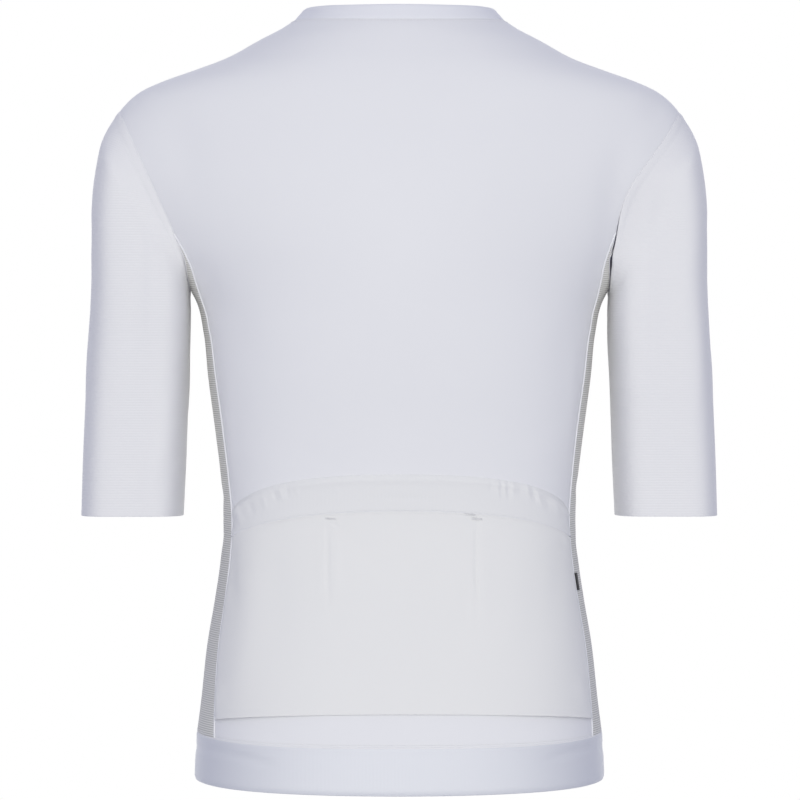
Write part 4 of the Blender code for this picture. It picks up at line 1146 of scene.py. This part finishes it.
KNIT = knit("body_knit", (0.765, 0.768, 0.797), (0.795, 0.797, 0.822))
SLEEVE_KNIT = knit("sleeve_knit", (0.755, 0.755, 0.780), (0.790, 0.788, 0.807),
                   sheen=0.15, rib=(2.2, 0.05))
POCKET_KNIT = knit("pocket_knit", (0.768, 0.770, 0.772), (0.798, 0.795, 0.794))
STRIP_BAND = elastic("pocket_elastic", (0.755, 0.757, 0.768), (0.785, 0.785, 0.792))
HEM_ELASTIC = elastic("hem_elastic", (0.705, 0.718, 0.765), (0.735, 0.748, 0.790),
                      roughness=0.5, sheen=0.0, satin=0.19)
COLLAR_KNIT = elastic("collar_elastic", (0.740, 0.748, 0.800), (0.775, 0.782, 0.826))
MESH_CLOTH = mesh_cloth("side_mesh")
THREAD = thread("white_thread", (0.72, 0.72, 0.74), (0.86, 0.86, 0.87))
PIPING = thread("white_piping", (0.78, 0.79, 0.82), (0.90, 0.90, 0.92), 0.8)
TAB_TAPE = woven_tape("black_woven", (0.012, 0.012, 0.013), (0.035, 0.035, 0.037))
ZIP_TAPE = woven_tape("zip_woven", (0.66, 0.66, 0.69), (0.82, 0.82, 0.84))
COIL = moulded("zip_coil", (0.74, 0.74, 0.77), (0.84, 0.84, 0.86))
METAL = satin_metal("zip_satin")
KNIT_PLAIN = knit("seam_edge_knit", (0.76, 0.76, 0.785), (0.79, 0.79, 0.81))


# --- the pieces ----------------------------------------------------------------------------------

# What each piece is cut to before it is worn, in metres: it stretches by about a tenth
Cut = namedtuple("Cut", "width length area")
CUTS = {
    "back": Cut(0.480, 0.660, 0.240),
    "front_left": Cut(0.240, 0.610, 0.103),
    "side_left": Cut(0.085, 0.420, 0.0238),
    "sleeve_left": Cut(0.340, 0.330, 0.0785),
    "pocket_panel": Cut(0.330, 0.185, 0.0560),
    "pocket_band": Cut(0.300, 0.032, 0.0095),
    "hem_band": Cut(0.860, 0.038, 0.0326),
    "collar": Cut(0.420, 0.016, 0.0062),
}
for paired in ("front", "side", "sleeve"):
    CUTS[paired + "_right"] = CUTS[paired + "_left"]

POCKET_ABOVE = 1.2      # the pocket's outer face above the back's
BAND_ABOVE = 1.5
SEAM_DROP = 0.3         # how deep a seam's edges roll down
SEAM_SINK = 0.3         # the same where the pocket's band is sewn on
BAND_RIM_RIDGE = 0.6    # the soft ridge along the band's free edge
FOOT_PROUD = 1.5        # how far the pocket's foot stands off the back near the sides


def worn(made, node, slot):
    """Hides the CAD node that a piece stands for."""
    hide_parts(node)


def body_shell(node, sheet, slot, material, rise=0.0, thickness=CLOTH, drop=SEAM_DROP):
    """A piece of the torso, with the body's creases, its seams rolled down."""
    lifted = body_rise(sheet.points, sheet.normals) + roll(sheet, drop) + rise
    worn(shell(node + "_cloth", sheet, lifted, thickness, material), node, slot)


def side_run(side, low, high):
    """The points of a side's back seam between two of the pocket's edges."""
    ends = [float(height_at_side(edge.centre_z - edge.side_drop)) for edge in (low, high)]
    first, last = (np.abs(side.back[:, 1] - end).argmin() for end in ends)
    return side.back[first:last + 1]


def make_back(left, right, shoulder):
    half = SEAM_GAP / 2
    arms = [armhole_run(side.armhole, SHOULDER_SEAM_COLUMN, HORN_BACK_COLUMN + SLEEVE_COLUMNS)
            for side in (left, right)]
    sheet = panel([
        Edge(hem_run(left.back[0, 0], math.pi - right.back[0, 0]), half),
        Edge(on_right(right.back), half),
        Edge(on_right(arms[1][::-1]), 0.0),
        Edge(on_right(shoulder), half),
        Edge(level_run(math.pi - shoulder[-1, 0], shoulder[-1, 0], NECK), 0.0),
        Edge(shoulder[::-1], half),
        Edge(arms[0], 0.0),
        Edge(left.back[::-1], half),
    ], 3.8, BACK_GRAIN)
    body_shell("back", sheet, "white_knit", KNIT)


def distance_from(run, sheet):
    """How far each point of a sheet lies from a run of (angle, height)."""
    return nearest(tree_of(torso(*run.T)), sheet.points)


def bump_at(distance, place, width):
    """A soft ridge, one high, that follows a line at a distance from it."""
    return np.exp(-((distance - place) / width) ** 2)


# The pocket comes down to the back at its sides and its seam. Its foot lifts off near the sides;
# the band is ridged a little way in from its free edge, which lies on the back.
POCKET_SIDE_WIDTH = 2.2
FOOT_WIDTH = 5.0
FOOT_FLAT_X = 60.0
FOOT_RISE_X = 70.0
FOOT_SIDE_GAP = 1.0
FOOT_SIDE_FADE = 7.0
BAND_RIDGE_PLACE = 4.6
BAND_RIDGE_WIDTH = 2.2
BAND_EDGE_ABOVE = 0.05
BAND_EDGE_WIDTH = 2.4


def make_pocket(left, right):
    """The pocket and its elastic band, laid on the back."""
    half = SEAM_GAP / 2
    foot, seam, top = (pocket_line(edge, left, right)
                       for edge in (POCKET_FOOT, POCKET_BAND_SEAM, POCKET_TOP))
    for node, low, high, edges, step in (
            ("pocket_panel", foot, seam, (POCKET_FOOT, POCKET_BAND_SEAM), 1.6),
            ("pocket_band", seam, top, (POCKET_BAND_SEAM, POCKET_TOP), 1.35)):
        sides = [side_run(side, *edges) for side in (left, right)]
        for run, end in zip(sides, (0, -1)):
            run[0, 1], run[-1, 1] = low[end, 1], high[end, 1]
        sheet = panel([Edge(low, half), Edge(on_right(sides[1]), half), Edge(high[::-1], half),
                       Edge(sides[0][::-1], half)], step, BACK_GRAIN)
        ends = np.concatenate([placed(run, hand) for run, hand in zip(sides, (1, -1))])
        from_sides = distance_from(ends, sheet)
        rise = -SEAM_SINK * bump_at(distance_from(seam, sheet), 0.0, ROLL_WIDTH)
        rise -= POCKET_ABOVE * bump_at(from_sides, 0.0, POCKET_SIDE_WIDTH)
        if node == "pocket_panel":
            proud = FOOT_PROUD * bump_at(distance_from(foot, sheet), 0.0, FOOT_WIDTH)
            proud *= np.clip((np.abs(sheet.points[:, 0]) - FOOT_FLAT_X) / FOOT_RISE_X, 0, 1)
            proud *= np.clip((from_sides - FOOT_SIDE_GAP) / FOOT_SIDE_FADE, 0, 1)
            rise += relief(POCKET_CREASES, sheet.points, sheet.normals) + POCKET_ABOVE + proud
            body_shell(node, sheet, "white_knit", POCKET_KNIT, rise, drop=0.0)
        else:
            from_top = distance_from(top, sheet)
            rise += BAND_RIM_RIDGE * bump_at(from_top, BAND_RIDGE_PLACE, BAND_RIDGE_WIDTH)
            rise -= (BAND_ABOVE - BAND_EDGE_ABOVE) * bump_at(from_top, 0.0, BAND_EDGE_WIDTH)
            rise += relief(BAND_CREASES, sheet.points, sheet.normals) + BAND_ABOVE
            body_shell(node, sheet, "white_elastic", STRIP_BAND, rise, ELASTIC, drop=0.0)


def make_fronts(left, shoulder):
    half = SEAM_GAP / 2
    zip_edge = centre_front(float(height_at_side(HEM_SEAM_Z)), NECK)
    sheet = panel([
        Edge(hem_run(zip_edge[0, 0], left.front[0, 0]), half),
        Edge(left.front, half),
        Edge(armhole_run(left.armhole, HORN_FRONT_COLUMN, SHOULDER_SEAM_COLUMN), 0.0),
        Edge(shoulder, half),
        Edge(level_run(shoulder[-1, 0], zip_edge[-1, 0], NECK), 0.0),
        Edge(zip_edge[::-1], half),
    ], 4.0, FRONT_GRAIN)
    body_shell("front_left", sheet, "white_knit", KNIT)
    body_shell("front_right", mirrored(sheet), "white_knit", KNIT)


def handed(sheet, side):
    """A sheet made in the left side's angles, on its own side."""
    return sheet if side.hand > 0 else mirrored(sheet)


def make_side_panels(left, right):
    half = SEAM_GAP / 2
    for node, side in (("side_left", left), ("side_right", right)):
        sheet = panel([
            Edge(hem_run(side.front[0, 0], side.back[0, 0]), half),
            Edge(side.back, half),
            Edge(armhole_run(side.armhole, HORN_BACK_COLUMN, HORN_FRONT_COLUMN), 0.0),
            Edge(side.front[::-1], half),
        ], 3.2, SIDE_GRAIN)
        body_shell(node, handed(sheet, side), "grey_mesh", MESH_CLOTH)


ALLOWANCE = 5.6         # width of the seam's turned edge, which shows through the sleeve
ALLOWANCE_DEPTH = 0.4
ALLOWANCE_EDGE = 0.8    # how soft its edge is
UNDERARM_WIDTH = 1.6
UNDERARM_DEPTH = 0.5
BODY_CREASE_REACH = 18.0    # how far the body's creases run on into the sleeve


def make_sleeve(node, side):
    """A sleeve: the armhole seam's turned edge and the seam under the arm show through."""
    grid = sleeve_grid(side.armhole)
    normals = grid_normals(grid)
    steps = np.linalg.norm(np.diff(grid, axis=0), axis=2)
    down = np.concatenate([np.zeros((1, SLEEVE_COLUMNS)), np.cumsum(steps, axis=0)])
    round_it = np.broadcast_to(SLEEVE_TURNS * SLEEVE_ROUND, down.shape)
    cloth = np.stack([round_it, down[-1] - down], axis=-1) * MM
    sheet = grid_sheet(grid[::-1], normals[::-1], cloth[::-1], around=True)
    from_armhole = down[::-1].ravel()
    from_underarm = np.abs(round_it[::-1].ravel() - math.pi * SLEEVE_ROUND)
    sheet = handed(sheet, side)
    rise = relief(SLEEVE_CREASES, sheet.points, sheet.normals)
    at_armhole = body_rise(sheet.points[-SLEEVE_COLUMNS:], sheet.normals[-SLEEVE_COLUMNS:])
    rise += np.tile(at_armhole, len(grid)) * bump_at(from_armhole, 0.0, BODY_CREASE_REACH)
    rise -= SEAM_DROP * bump_at(from_armhole, 0.0, ROLL_WIDTH)
    rise += ALLOWANCE_DEPTH * (1 - np.tanh((from_armhole - ALLOWANCE) / ALLOWANCE_EDGE)) / 2
    rise -= UNDERARM_DEPTH * bump_at(from_underarm, 0.0, UNDERARM_WIDTH)
    around = 2 * math.pi * SLEEVE_ROUND * MM
    made = shell(node + "_cloth", sheet, rise, CLOTH, SLEEVE_KNIT, around)
    worn(made, node, "white_knit")


COLLAR_LOW = SEAM_GAP / (COLLAR_TOP.back_z - TORSO[-1].back_z)
COLLAR_STEP = 2.5
COLLAR_LIFT = 0.8       # how much the collar's upper edge rises at its sides
COLLAR_SIDE = 0.88      # where it rises most, as the cosine of the angle, and how widely
COLLAR_SIDE_WIDTH = 0.3
COLLAR_DROP = 0.25      # how deep its lower edge rolls down
LIP = 0.2               # the soft ridge along its upper edge, with its place and its width
LIP_PLACE = 0.85
LIP_WIDTH = 0.12
HEM_SIDE_LIFT = 2.0     # how much the hem's lower edge rises at the sides
HEM_BACK_LIFT = 0.5     # and at the back and the front
HEM_CURL = 1.2          # how far the hem's lower edge turns in
HEM_CURL_WIDTH = 2.0
HEM_RIDGE = 0.35        # the ridge under the hem's seam
HEM_RIDGE_PLACE = 1.8
HEM_RIDGE_WIDTH = 1.5
HEM_TOP_DROP = 0.15     # how deep the hem's upper edge rolls down
HEM_TOP_WIDTH = 0.8


def make_collar():
    """The low collar, open at the zip, with a soft upper edge."""
    start = float(angle_at_front(NECK, TAPE_HALF + SEAM_GAP / 2))
    angle = spaced(start, math.pi - start, COLLAR_STEP / COLLAR_ROUND)
    angle, share = np.meshgrid(angle, np.linspace(COLLAR_LOW, 1.0, COLLAR_ROWS))
    points = collar_surface(angle, share)
    at_side = bump_at(np.abs(np.cos(angle)), COLLAR_SIDE, COLLAR_SIDE_WIDTH)
    points[..., 2] += COLLAR_LIFT * share * at_side
    normals = outward(collar_surface, angle, share, TURN_STEP, SHARE_STEP)
    cloth = np.stack([angle * COLLAR_ROUND, share * COLLAR_TALL], axis=-1) * MM
    sheet = grid_sheet(points, normals, cloth)
    rise = roll(sheet, COLLAR_DROP) + LIP * bump_at(share.ravel(), LIP_PLACE, LIP_WIDTH)
    worn(shell("collar_cloth", sheet, rise, ELASTIC, COLLAR_KNIT), "collar", "white_elastic")


def make_hem_band():
    """The wide elastic band: a raised upper edge, and a lower edge that turns in."""
    share = (1 - np.cos(np.linspace(0, math.pi, HEM_ROWS))) / 2
    starts = angle_at_front(float(height_at_side(HEM_SEAM_Z)) * share, TAPE_HALF + SEAM_GAP / 2)
    angle = np.array([np.linspace(start, math.pi - start, HEM_COLUMNS) for start in starts])
    top = hem_height(angle) - SEAM_GAP / 2
    aside = np.cos(angle) ** 2
    foot = HEM_BACK_LIFT * (1 - aside) + HEM_SIDE_LIFT * aside ** 4
    height = foot + (top - foot) * share[:, None]
    points, normals = torso(angle, height), torso_normal(angle, height)
    sheet = grid_sheet(points, normals, cloth_place(angle, height, BACK_GRAIN))
    low, high = (height - foot).ravel(), (top - height).ravel()
    rise = relief(HEM_CREASES, sheet.points, sheet.normals)
    rise += HEM_RIDGE * bump_at(high, HEM_RIDGE_PLACE, HEM_RIDGE_WIDTH)
    rise -= HEM_TOP_DROP * bump_at(high, 0.0, HEM_TOP_WIDTH)
    rise -= HEM_CURL * bump_at(low, 0.0, HEM_CURL_WIDTH)
    worn(shell("hem_band_cloth", sheet, rise, ELASTIC, HEM_ELASTIC), "hem_band", "white_elastic")


# --- seams, stitching and trim -------------------------------------------------------------------

def on_body(run, lift=0.0):
    """A run of (angle, height) as points on the creased cloth, with their normals."""
    points, normals = torso(*run.T), torso_normal(*run.T)
    rise = body_rise(points, normals) + lift
    return points + rise[:, None] * normals, normals


def both(run):
    """A run on the wearer's left, and the same on the right, in the same direction round."""
    return run, on_right(run)[::-1]


def make_piping(sides):
    """The light raised seams at either side of the mesh panels."""
    soup = Soup()
    for side in sides:
        for seam in (side.back, side.front):
            ridge(soup, *on_body(placed(seam, side.hand)), half_round(1.5, 0.55))
    soup.piece("side_piping", PIPING)


Bead = namedtuple("Bead", "run lift width height")


def make_seam_lines(left, right, shoulder):
    """The drawn threads that close the seams: low beads in the dip between two pieces."""
    soup = Soup()
    whole = np.arange(SLEEVE_COLUMNS + 1) % SLEEVE_COLUMNS
    beads = [
        Bead(placed(left.armhole[whole], 1), 0.0, 1.5, 0.15),
        Bead(placed(right.armhole[whole], -1), -0.2, 0.8, 0.0),
        Bead(round_hem(), 0.0, 1.3, 0.12),
        Bead(round_neck(), -0.15, 1.1, 0.0),
        Bead(pocket_line(POCKET_BAND_SEAM, left, right), POCKET_ABOVE, 1.2, -0.02),
    ]
    beads += [Bead(run, -0.1, 1.0, 0.0) for run in both(shoulder)]
    for bead in beads:
        ridge(soup, *on_body(bead.run, bead.lift), half_round(bead.width, bead.height))
    soup.piece("seam_lines", KNIT_PLAIN)


HEM_STITCH = 2.4        # how far each row of stitches runs from its seam
SHOULDER_STITCH = 2.2
NECK_STITCH = 2.2
POCKET_STITCH = 1.9
ZIP_STITCH = 2.6
TACK_LENGTH = 9.0
Tack = namedtuple("Tack", "x below tilt")
TACKS = [Tack(60.0, 4.6, 0.06), Tack(-58.0, 1.4, 0.10), Tack(-64.0, 4.6, 0.10)]


def make_stitching(left, right, shoulder):
    """Cover stitching on the seams, and the bar tacks at the pocket's dividers."""
    soup = Soup()
    hem = round_hem(1.0)
    hem[:, 1] += HEM_STITCH
    stitches(soup, *on_body(hem))
    for run in both(shoulder):
        for aside in (-SHOULDER_STITCH, SHOULDER_STITCH):
            stitches(soup, *on_body(run), aside)
    stitches(soup, *on_body(round_neck(1.0, NECK_STITCH)))
    seam, normals = on_body(pocket_line(POCKET_BAND_SEAM, left, right), POCKET_ABOVE)
    stitches(soup, seam[3:-3], normals[3:-3], POCKET_STITCH, 2.4, 1.8, 0.36)
    for row in TACKS:
        tack(soup, seam, normals, row)
    for run in both(centre_front(0.0, NECK)):
        stitches(soup, *on_body(run), ZIP_STITCH)
    soup.piece("stitching", THREAD)


def tack(soup, seam, normals, row):
    """A bar tack: close zigzag stitches below the band, at the top of a pocket divider."""
    middle = np.abs(seam[:, 0] - row.x).argmin()
    centre, up = seam[middle] - np.array([0, 0, row.below]), normals[middle]
    across = np.cross(up, (0, 0, 1.0))
    across = across / np.linalg.norm(across) + np.array([0, 0, row.tilt])
    line = centre + np.linspace(-0.5, 0.5, 24)[:, None] * TACK_LENGTH * across
    ups = np.repeat(up[None], len(line), axis=0)
    for lean in (1.15, -1.15):
        stitches(soup, line + 0.05 * up, ups, 0.0, 0.75, 1.9, 0.4, lean)


ALLOWANCE_HALF = 3.2    # half the width of a seam's turned edges
ALLOWANCE_GAP = 0.35    # how far under the cloth they lie
ALLOWANCE_WALL = 0.5


def make_allowances(sides, shoulder):
    """The seams' turned edges, flat against the inside of the cloth."""
    soup = Soup()
    half, outer = ALLOWANCE_HALF, -CLOTH - ALLOWANCE_GAP
    inner = outer - ALLOWANCE_WALL
    section = np.array([(-half, outer), (half, outer), (half, inner), (-half, inner)])
    runs = [placed(seam[2:-2], side.hand) for side in sides
            for seam in (side.back, side.front, shoulder)]
    for run in runs + [round_hem(3.0)]:
        ridge(soup, *on_body(run), section)
    soup.piece("seam_edges", KNIT_PLAIN)


TAB_ABOVE = 1.45        # the tab's outer face above the cloth's
TAPE_WALL = 0.8
TAPE_SINK = 0.15        # how far the zip's tapes lie below the front panels


def make_tab(right):
    """The small plain tab in the right side seam."""
    height = np.linspace(*height_at_side([TAB_BOTTOM_Z, TAB_TOP_Z]), 12)
    seam = np.interp(height, right.back[:, 1], right.back[:, 0])
    angle = seam[:, None] + np.linspace(-TAB_WIDTH, 0.0, 9)[None] / DOMAIN_RADIUS
    height = np.broadcast_to(height[:, None], angle.shape)
    sheet = mirrored(grid_sheet(torso(angle, height), torso_normal(angle, height),
                                cloth_place(angle, height, SIDE_GRAIN)))
    rise = body_rise(sheet.points, sheet.normals) + TAB_ABOVE
    worn(shell("side_tab_tape", sheet, rise, TAPE_WALL, TAB_TAPE), "side_tab", "black_tape")


COLLAR_POINTS = 14      # points of each line up the collar


def zip_line(x, low, step):
    """Points and normals of a line up the centre front, x to the left, and on up the collar."""
    heights = spaced(low, NECK, step)
    angle = angle_at_front(heights, x)
    share = np.arange(1, COLLAR_POINTS + 1) / COLLAR_POINTS
    at_collar = np.full(len(share), angle[-1])
    points = [torso(angle, heights), collar_surface(at_collar, share)]
    normals = [torso_normal(angle, heights),
               outward(collar_surface, at_collar, share, TURN_STEP, SHARE_STEP)]
    return np.concatenate(points), np.concatenate(normals)


TOOTH_PITCH = 0.95
TEETH_START = 3.0       # height of the lowest teeth above the foot of the zip
TEETH_BELOW = 0.4       # clearance between the teeth and the slider
STOP_ABOVE = 0.3        # clearance between the slider and the stops above it
STOP_ASIDE = 1.5
STOP_LENGTH = 2.0       # in teeth
ToothRow = namedtuple("ToothRow", "reach half")     # reach across, and half the width there
TOOTH = [ToothRow(-0.7, 0.35), ToothRow(-0.2, 0.55), ToothRow(2.0, 0.42), ToothRow(2.3, 0.28)]
TOOTH_SECTION = [(-1, 0.0), (-1, 0.55), (-0.5, 0.85), (0.5, 0.85), (1, 0.55), (1, 0.0)]


def tooth(soup, centre, across, along, up):
    """A rounded tooth that starts past the centre line and ends on its own tape."""
    points = np.array([centre + across * row.reach + along * (side * row.half) + up * rise
                       for row in TOOTH for side, rise in TOOTH_SECTION])
    size = len(TOOTH_SECTION)
    last = (len(TOOTH) - 1) * size
    faces = []
    for row in range(0, last, size):
        for k in range(size):
            a, b = row + k, row + (k + 1) % size
            faces += [(a, b + size, b), (a, a + size, b + size)]
    for k in range(1, size - 1):
        faces += [(0, k, k + 1), (last, last + k + 1, last + k)]
    if np.dot(np.cross(across, along), up) < 0:
        faces = [face[::-1] for face in faces]
    soup.add(points, faces)


def make_zip():
    """The zip's tapes, its moulded teeth and the stops above the slider."""
    columns = np.linspace(SEAM_GAP / 2, TAPE_HALF - SEAM_GAP / 2, 5)
    lines = [zip_line(x, 0.0, EDGE_STEP) for x in columns]
    points, normals = (np.stack([line[k] for line in lines], axis=1) for k in (0, 1))
    up = np.concatenate([[0], np.cumsum(np.linalg.norm(np.diff(points[:, 0], axis=0), axis=1))])
    cloth = np.stack(np.broadcast_arrays(columns[None], up[:, None]), axis=-1) * MM
    sheet = grid_sheet(points, normals, cloth)
    rise = np.full(len(sheet.points), -TAPE_SINK)
    for node, side in (("zip_tape_left", sheet), ("zip_tape_right", mirrored(sheet))):
        worn(shell(node + "_cloth", side, rise, TAPE_WALL, ZIP_TAPE), node, "white_zip")
    teeth = Soup()
    centre, up, along = respaced(*zip_line(0.0, TEETH_START, 1.0), TOOTH_PITCH)
    right = np.cross(along, up)
    slider = collar_surface(np.array(-math.pi / 2), np.array(SLIDER_SHARE))
    past_slider = (centre - slider)[:, 2]
    for k in np.flatnonzero(past_slider < -SLIDER_LENGTH / 2 - TEETH_BELOW):
        hand = 1 if k % 2 else -1
        tooth(teeth, centre[k], right[k] * hand, along[k], up[k])
    for k in np.flatnonzero(past_slider > SLIDER_LENGTH / 2 + STOP_ABOVE)[:1]:
        for hand in (1, -1):
            stop = centre[k] + right[k] * hand * STOP_ASIDE
            tooth(teeth, stop, right[k] * hand, along[k] * STOP_LENGTH, up[k])
    teeth.piece("zip_teeth", COIL)


def finish_metal():
    """The slider and the pull keep their shapes, with softened edges and satin metal."""
    for node, width in (("zip_slider", 0.25), ("zip_pull", 0.3)):
        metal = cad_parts[node]
        metal.data.materials.clear()
        metal.data.materials.append(METAL)
        soft = metal.modifiers.new("edges", "BEVEL")
        soft.width = width * MM
        soft.segments = 3
        soft.limit_method = "ANGLE"
        soft.angle_limit = math.radians(35)
        soft.harden_normals = True


LEFT, RIGHT = make_side(1), make_side(-1)
SHOULDER = shoulder_seam()
make_back(LEFT, RIGHT, SHOULDER)
make_pocket(LEFT, RIGHT)
make_fronts(LEFT, SHOULDER)
make_side_panels(LEFT, RIGHT)
make_sleeve("sleeve_left", LEFT)
make_sleeve("sleeve_right", RIGHT)
make_collar()
make_hem_band()
make_piping((LEFT, RIGHT))
make_seam_lines(LEFT, RIGHT, SHOULDER)
make_stitching(LEFT, RIGHT, SHOULDER)
make_allowances((LEFT, RIGHT), SHOULDER)
make_tab(RIGHT)
make_zip()
finish_metal()


# --- the studio ----------------------------------------------------------------------------------

CAMERA_DISTANCE = 3.5
CAMERA_Z = -0.322
CAMERA_TURN = math.radians(0.75)    # a little to the wearer's left of straight behind
LENS = 182.9
SENSOR = 36.0
HALF_PIXEL = 0.5 / 800
FLOOR_Z = -1.45
FLOOR_REACH = 30.0


def make_camera():
    camera = bpy.data.objects.new("camera", bpy.data.cameras.new("camera"))
    camera.data.lens = LENS
    camera.data.sensor_width = SENSOR
    camera.data.shift_x = HALF_PIXEL
    camera.data.shift_y = HALF_PIXEL
    back = Vector((math.sin(CAMERA_TURN), math.cos(CAMERA_TURN), 0.0))
    camera.location = back * CAMERA_DISTANCE + Vector((0.0, 0.0, CAMERA_Z))
    camera.rotation_euler = (-back).to_track_quat("-Z", "Y").to_euler()
    bpy.context.scene.collection.objects.link(camera)
    bpy.context.scene.camera = camera


FLOOR_FADE = (0.9, 3.0)     # how far out the floor starts to turn white, and is


def make_floor():
    """A wide pale floor that fades to the white of the backdrop."""
    corners = [(-1, -1), (1, -1), (1, 1), (-1, 1)]
    mesh = bpy.data.meshes.new("floor")
    mesh.from_pydata([(x * FLOOR_REACH, y * FLOOR_REACH, FLOOR_Z) for x, y in corners], [],
                     [(0, 1, 2, 3)])
    floor = bpy.data.objects.new("floor", mesh)
    bpy.context.scene.collection.objects.link(floor)
    material = bpy.data.materials.new("pale_floor")
    material.use_nodes = True
    tree = material.node_tree
    shader = tree.nodes["Principled BSDF"]
    shader.inputs["Base Color"].default_value = (0.86, 0.86, 0.86, 1.0)
    shader.inputs["Roughness"].default_value = 0.9
    place = add_node(tree, "TexCoord")["Object"]
    length = add_node(tree, "VectorMath", {0: place}, operation="LENGTH")["Value"]
    fade = add_node(tree, "MapRange", {0: length, 1: FLOOR_FADE[0], 2: FLOOR_FADE[1]},
                    interpolation_type="SMOOTHSTEP")[0]
    mix = add_node(tree, "MixShader", {0: fade, 1: shader.outputs[0],
                                       2: add_node(tree, "Emission")[0]})[0]
    put(tree, tree.nodes["Material Output"].inputs["Surface"], mix)
    mesh.materials.append(material)
    floor.visible_diffuse = False
    floor.visible_glossy = False


AMBIENT = (0.31, 0.325, 0.45)       # light from the sides, slightly cool
SOFTBOX = (1.30, 1.28, 1.09)       # light added from behind and before the wearer
SOFTBOX_EDGE = (0.5, 0.95)          # where it starts and is full, as the sine off the side
TOP_LIGHT = 0.26


def make_light():
    """Even studio light: pale all round, brighter from the front and the back."""
    world = bpy.data.worlds.new("studio")
    bpy.context.scene.world = world
    world.use_nodes = True
    world.node_tree.nodes.clear()
    add = partial(add_node, world.node_tree)
    split = add("SeparateXYZ", {0: add("TexCoord")["Generated"]})
    facing = add("Math", {0: split[1]}, operation="ABSOLUTE")[0]
    box = add("MapRange", {0: facing, 1: SOFTBOX_EDGE[0], 2: SOFTBOX_EDGE[1]},
              interpolation_type="SMOOTHSTEP")[0]
    top = add("MapRange", {0: split[2], 1: 0.0, 2: 1.0, 3: 0.0, 4: TOP_LIGHT})[0]
    lit = add("VectorMath", {0: SOFTBOX, 3: box}, operation="SCALE")[0]
    over = add("CombineXYZ", {0: top, 1: top, 2: top})[0]
    total = add("VectorMath", {0: lit, 1: AMBIENT}, operation="ADD")[0]
    total = add("VectorMath", {0: total, 1: over}, operation="ADD")[0]
    light = add("Background", {0: total, 1: 1.0})[0]
    white = add("Background", {0: (1.0, 1.0, 1.0, 1.0), 1: 1.0})[0]
    seen = add("MixShader", {0: add("LightPath")["Is Camera Ray"], 1: light, 2: white})[0]
    add("OutputWorld", {0: seen})


bpy.context.scene.view_settings.view_transform = "Standard"
make_camera()
make_floor()
make_light()
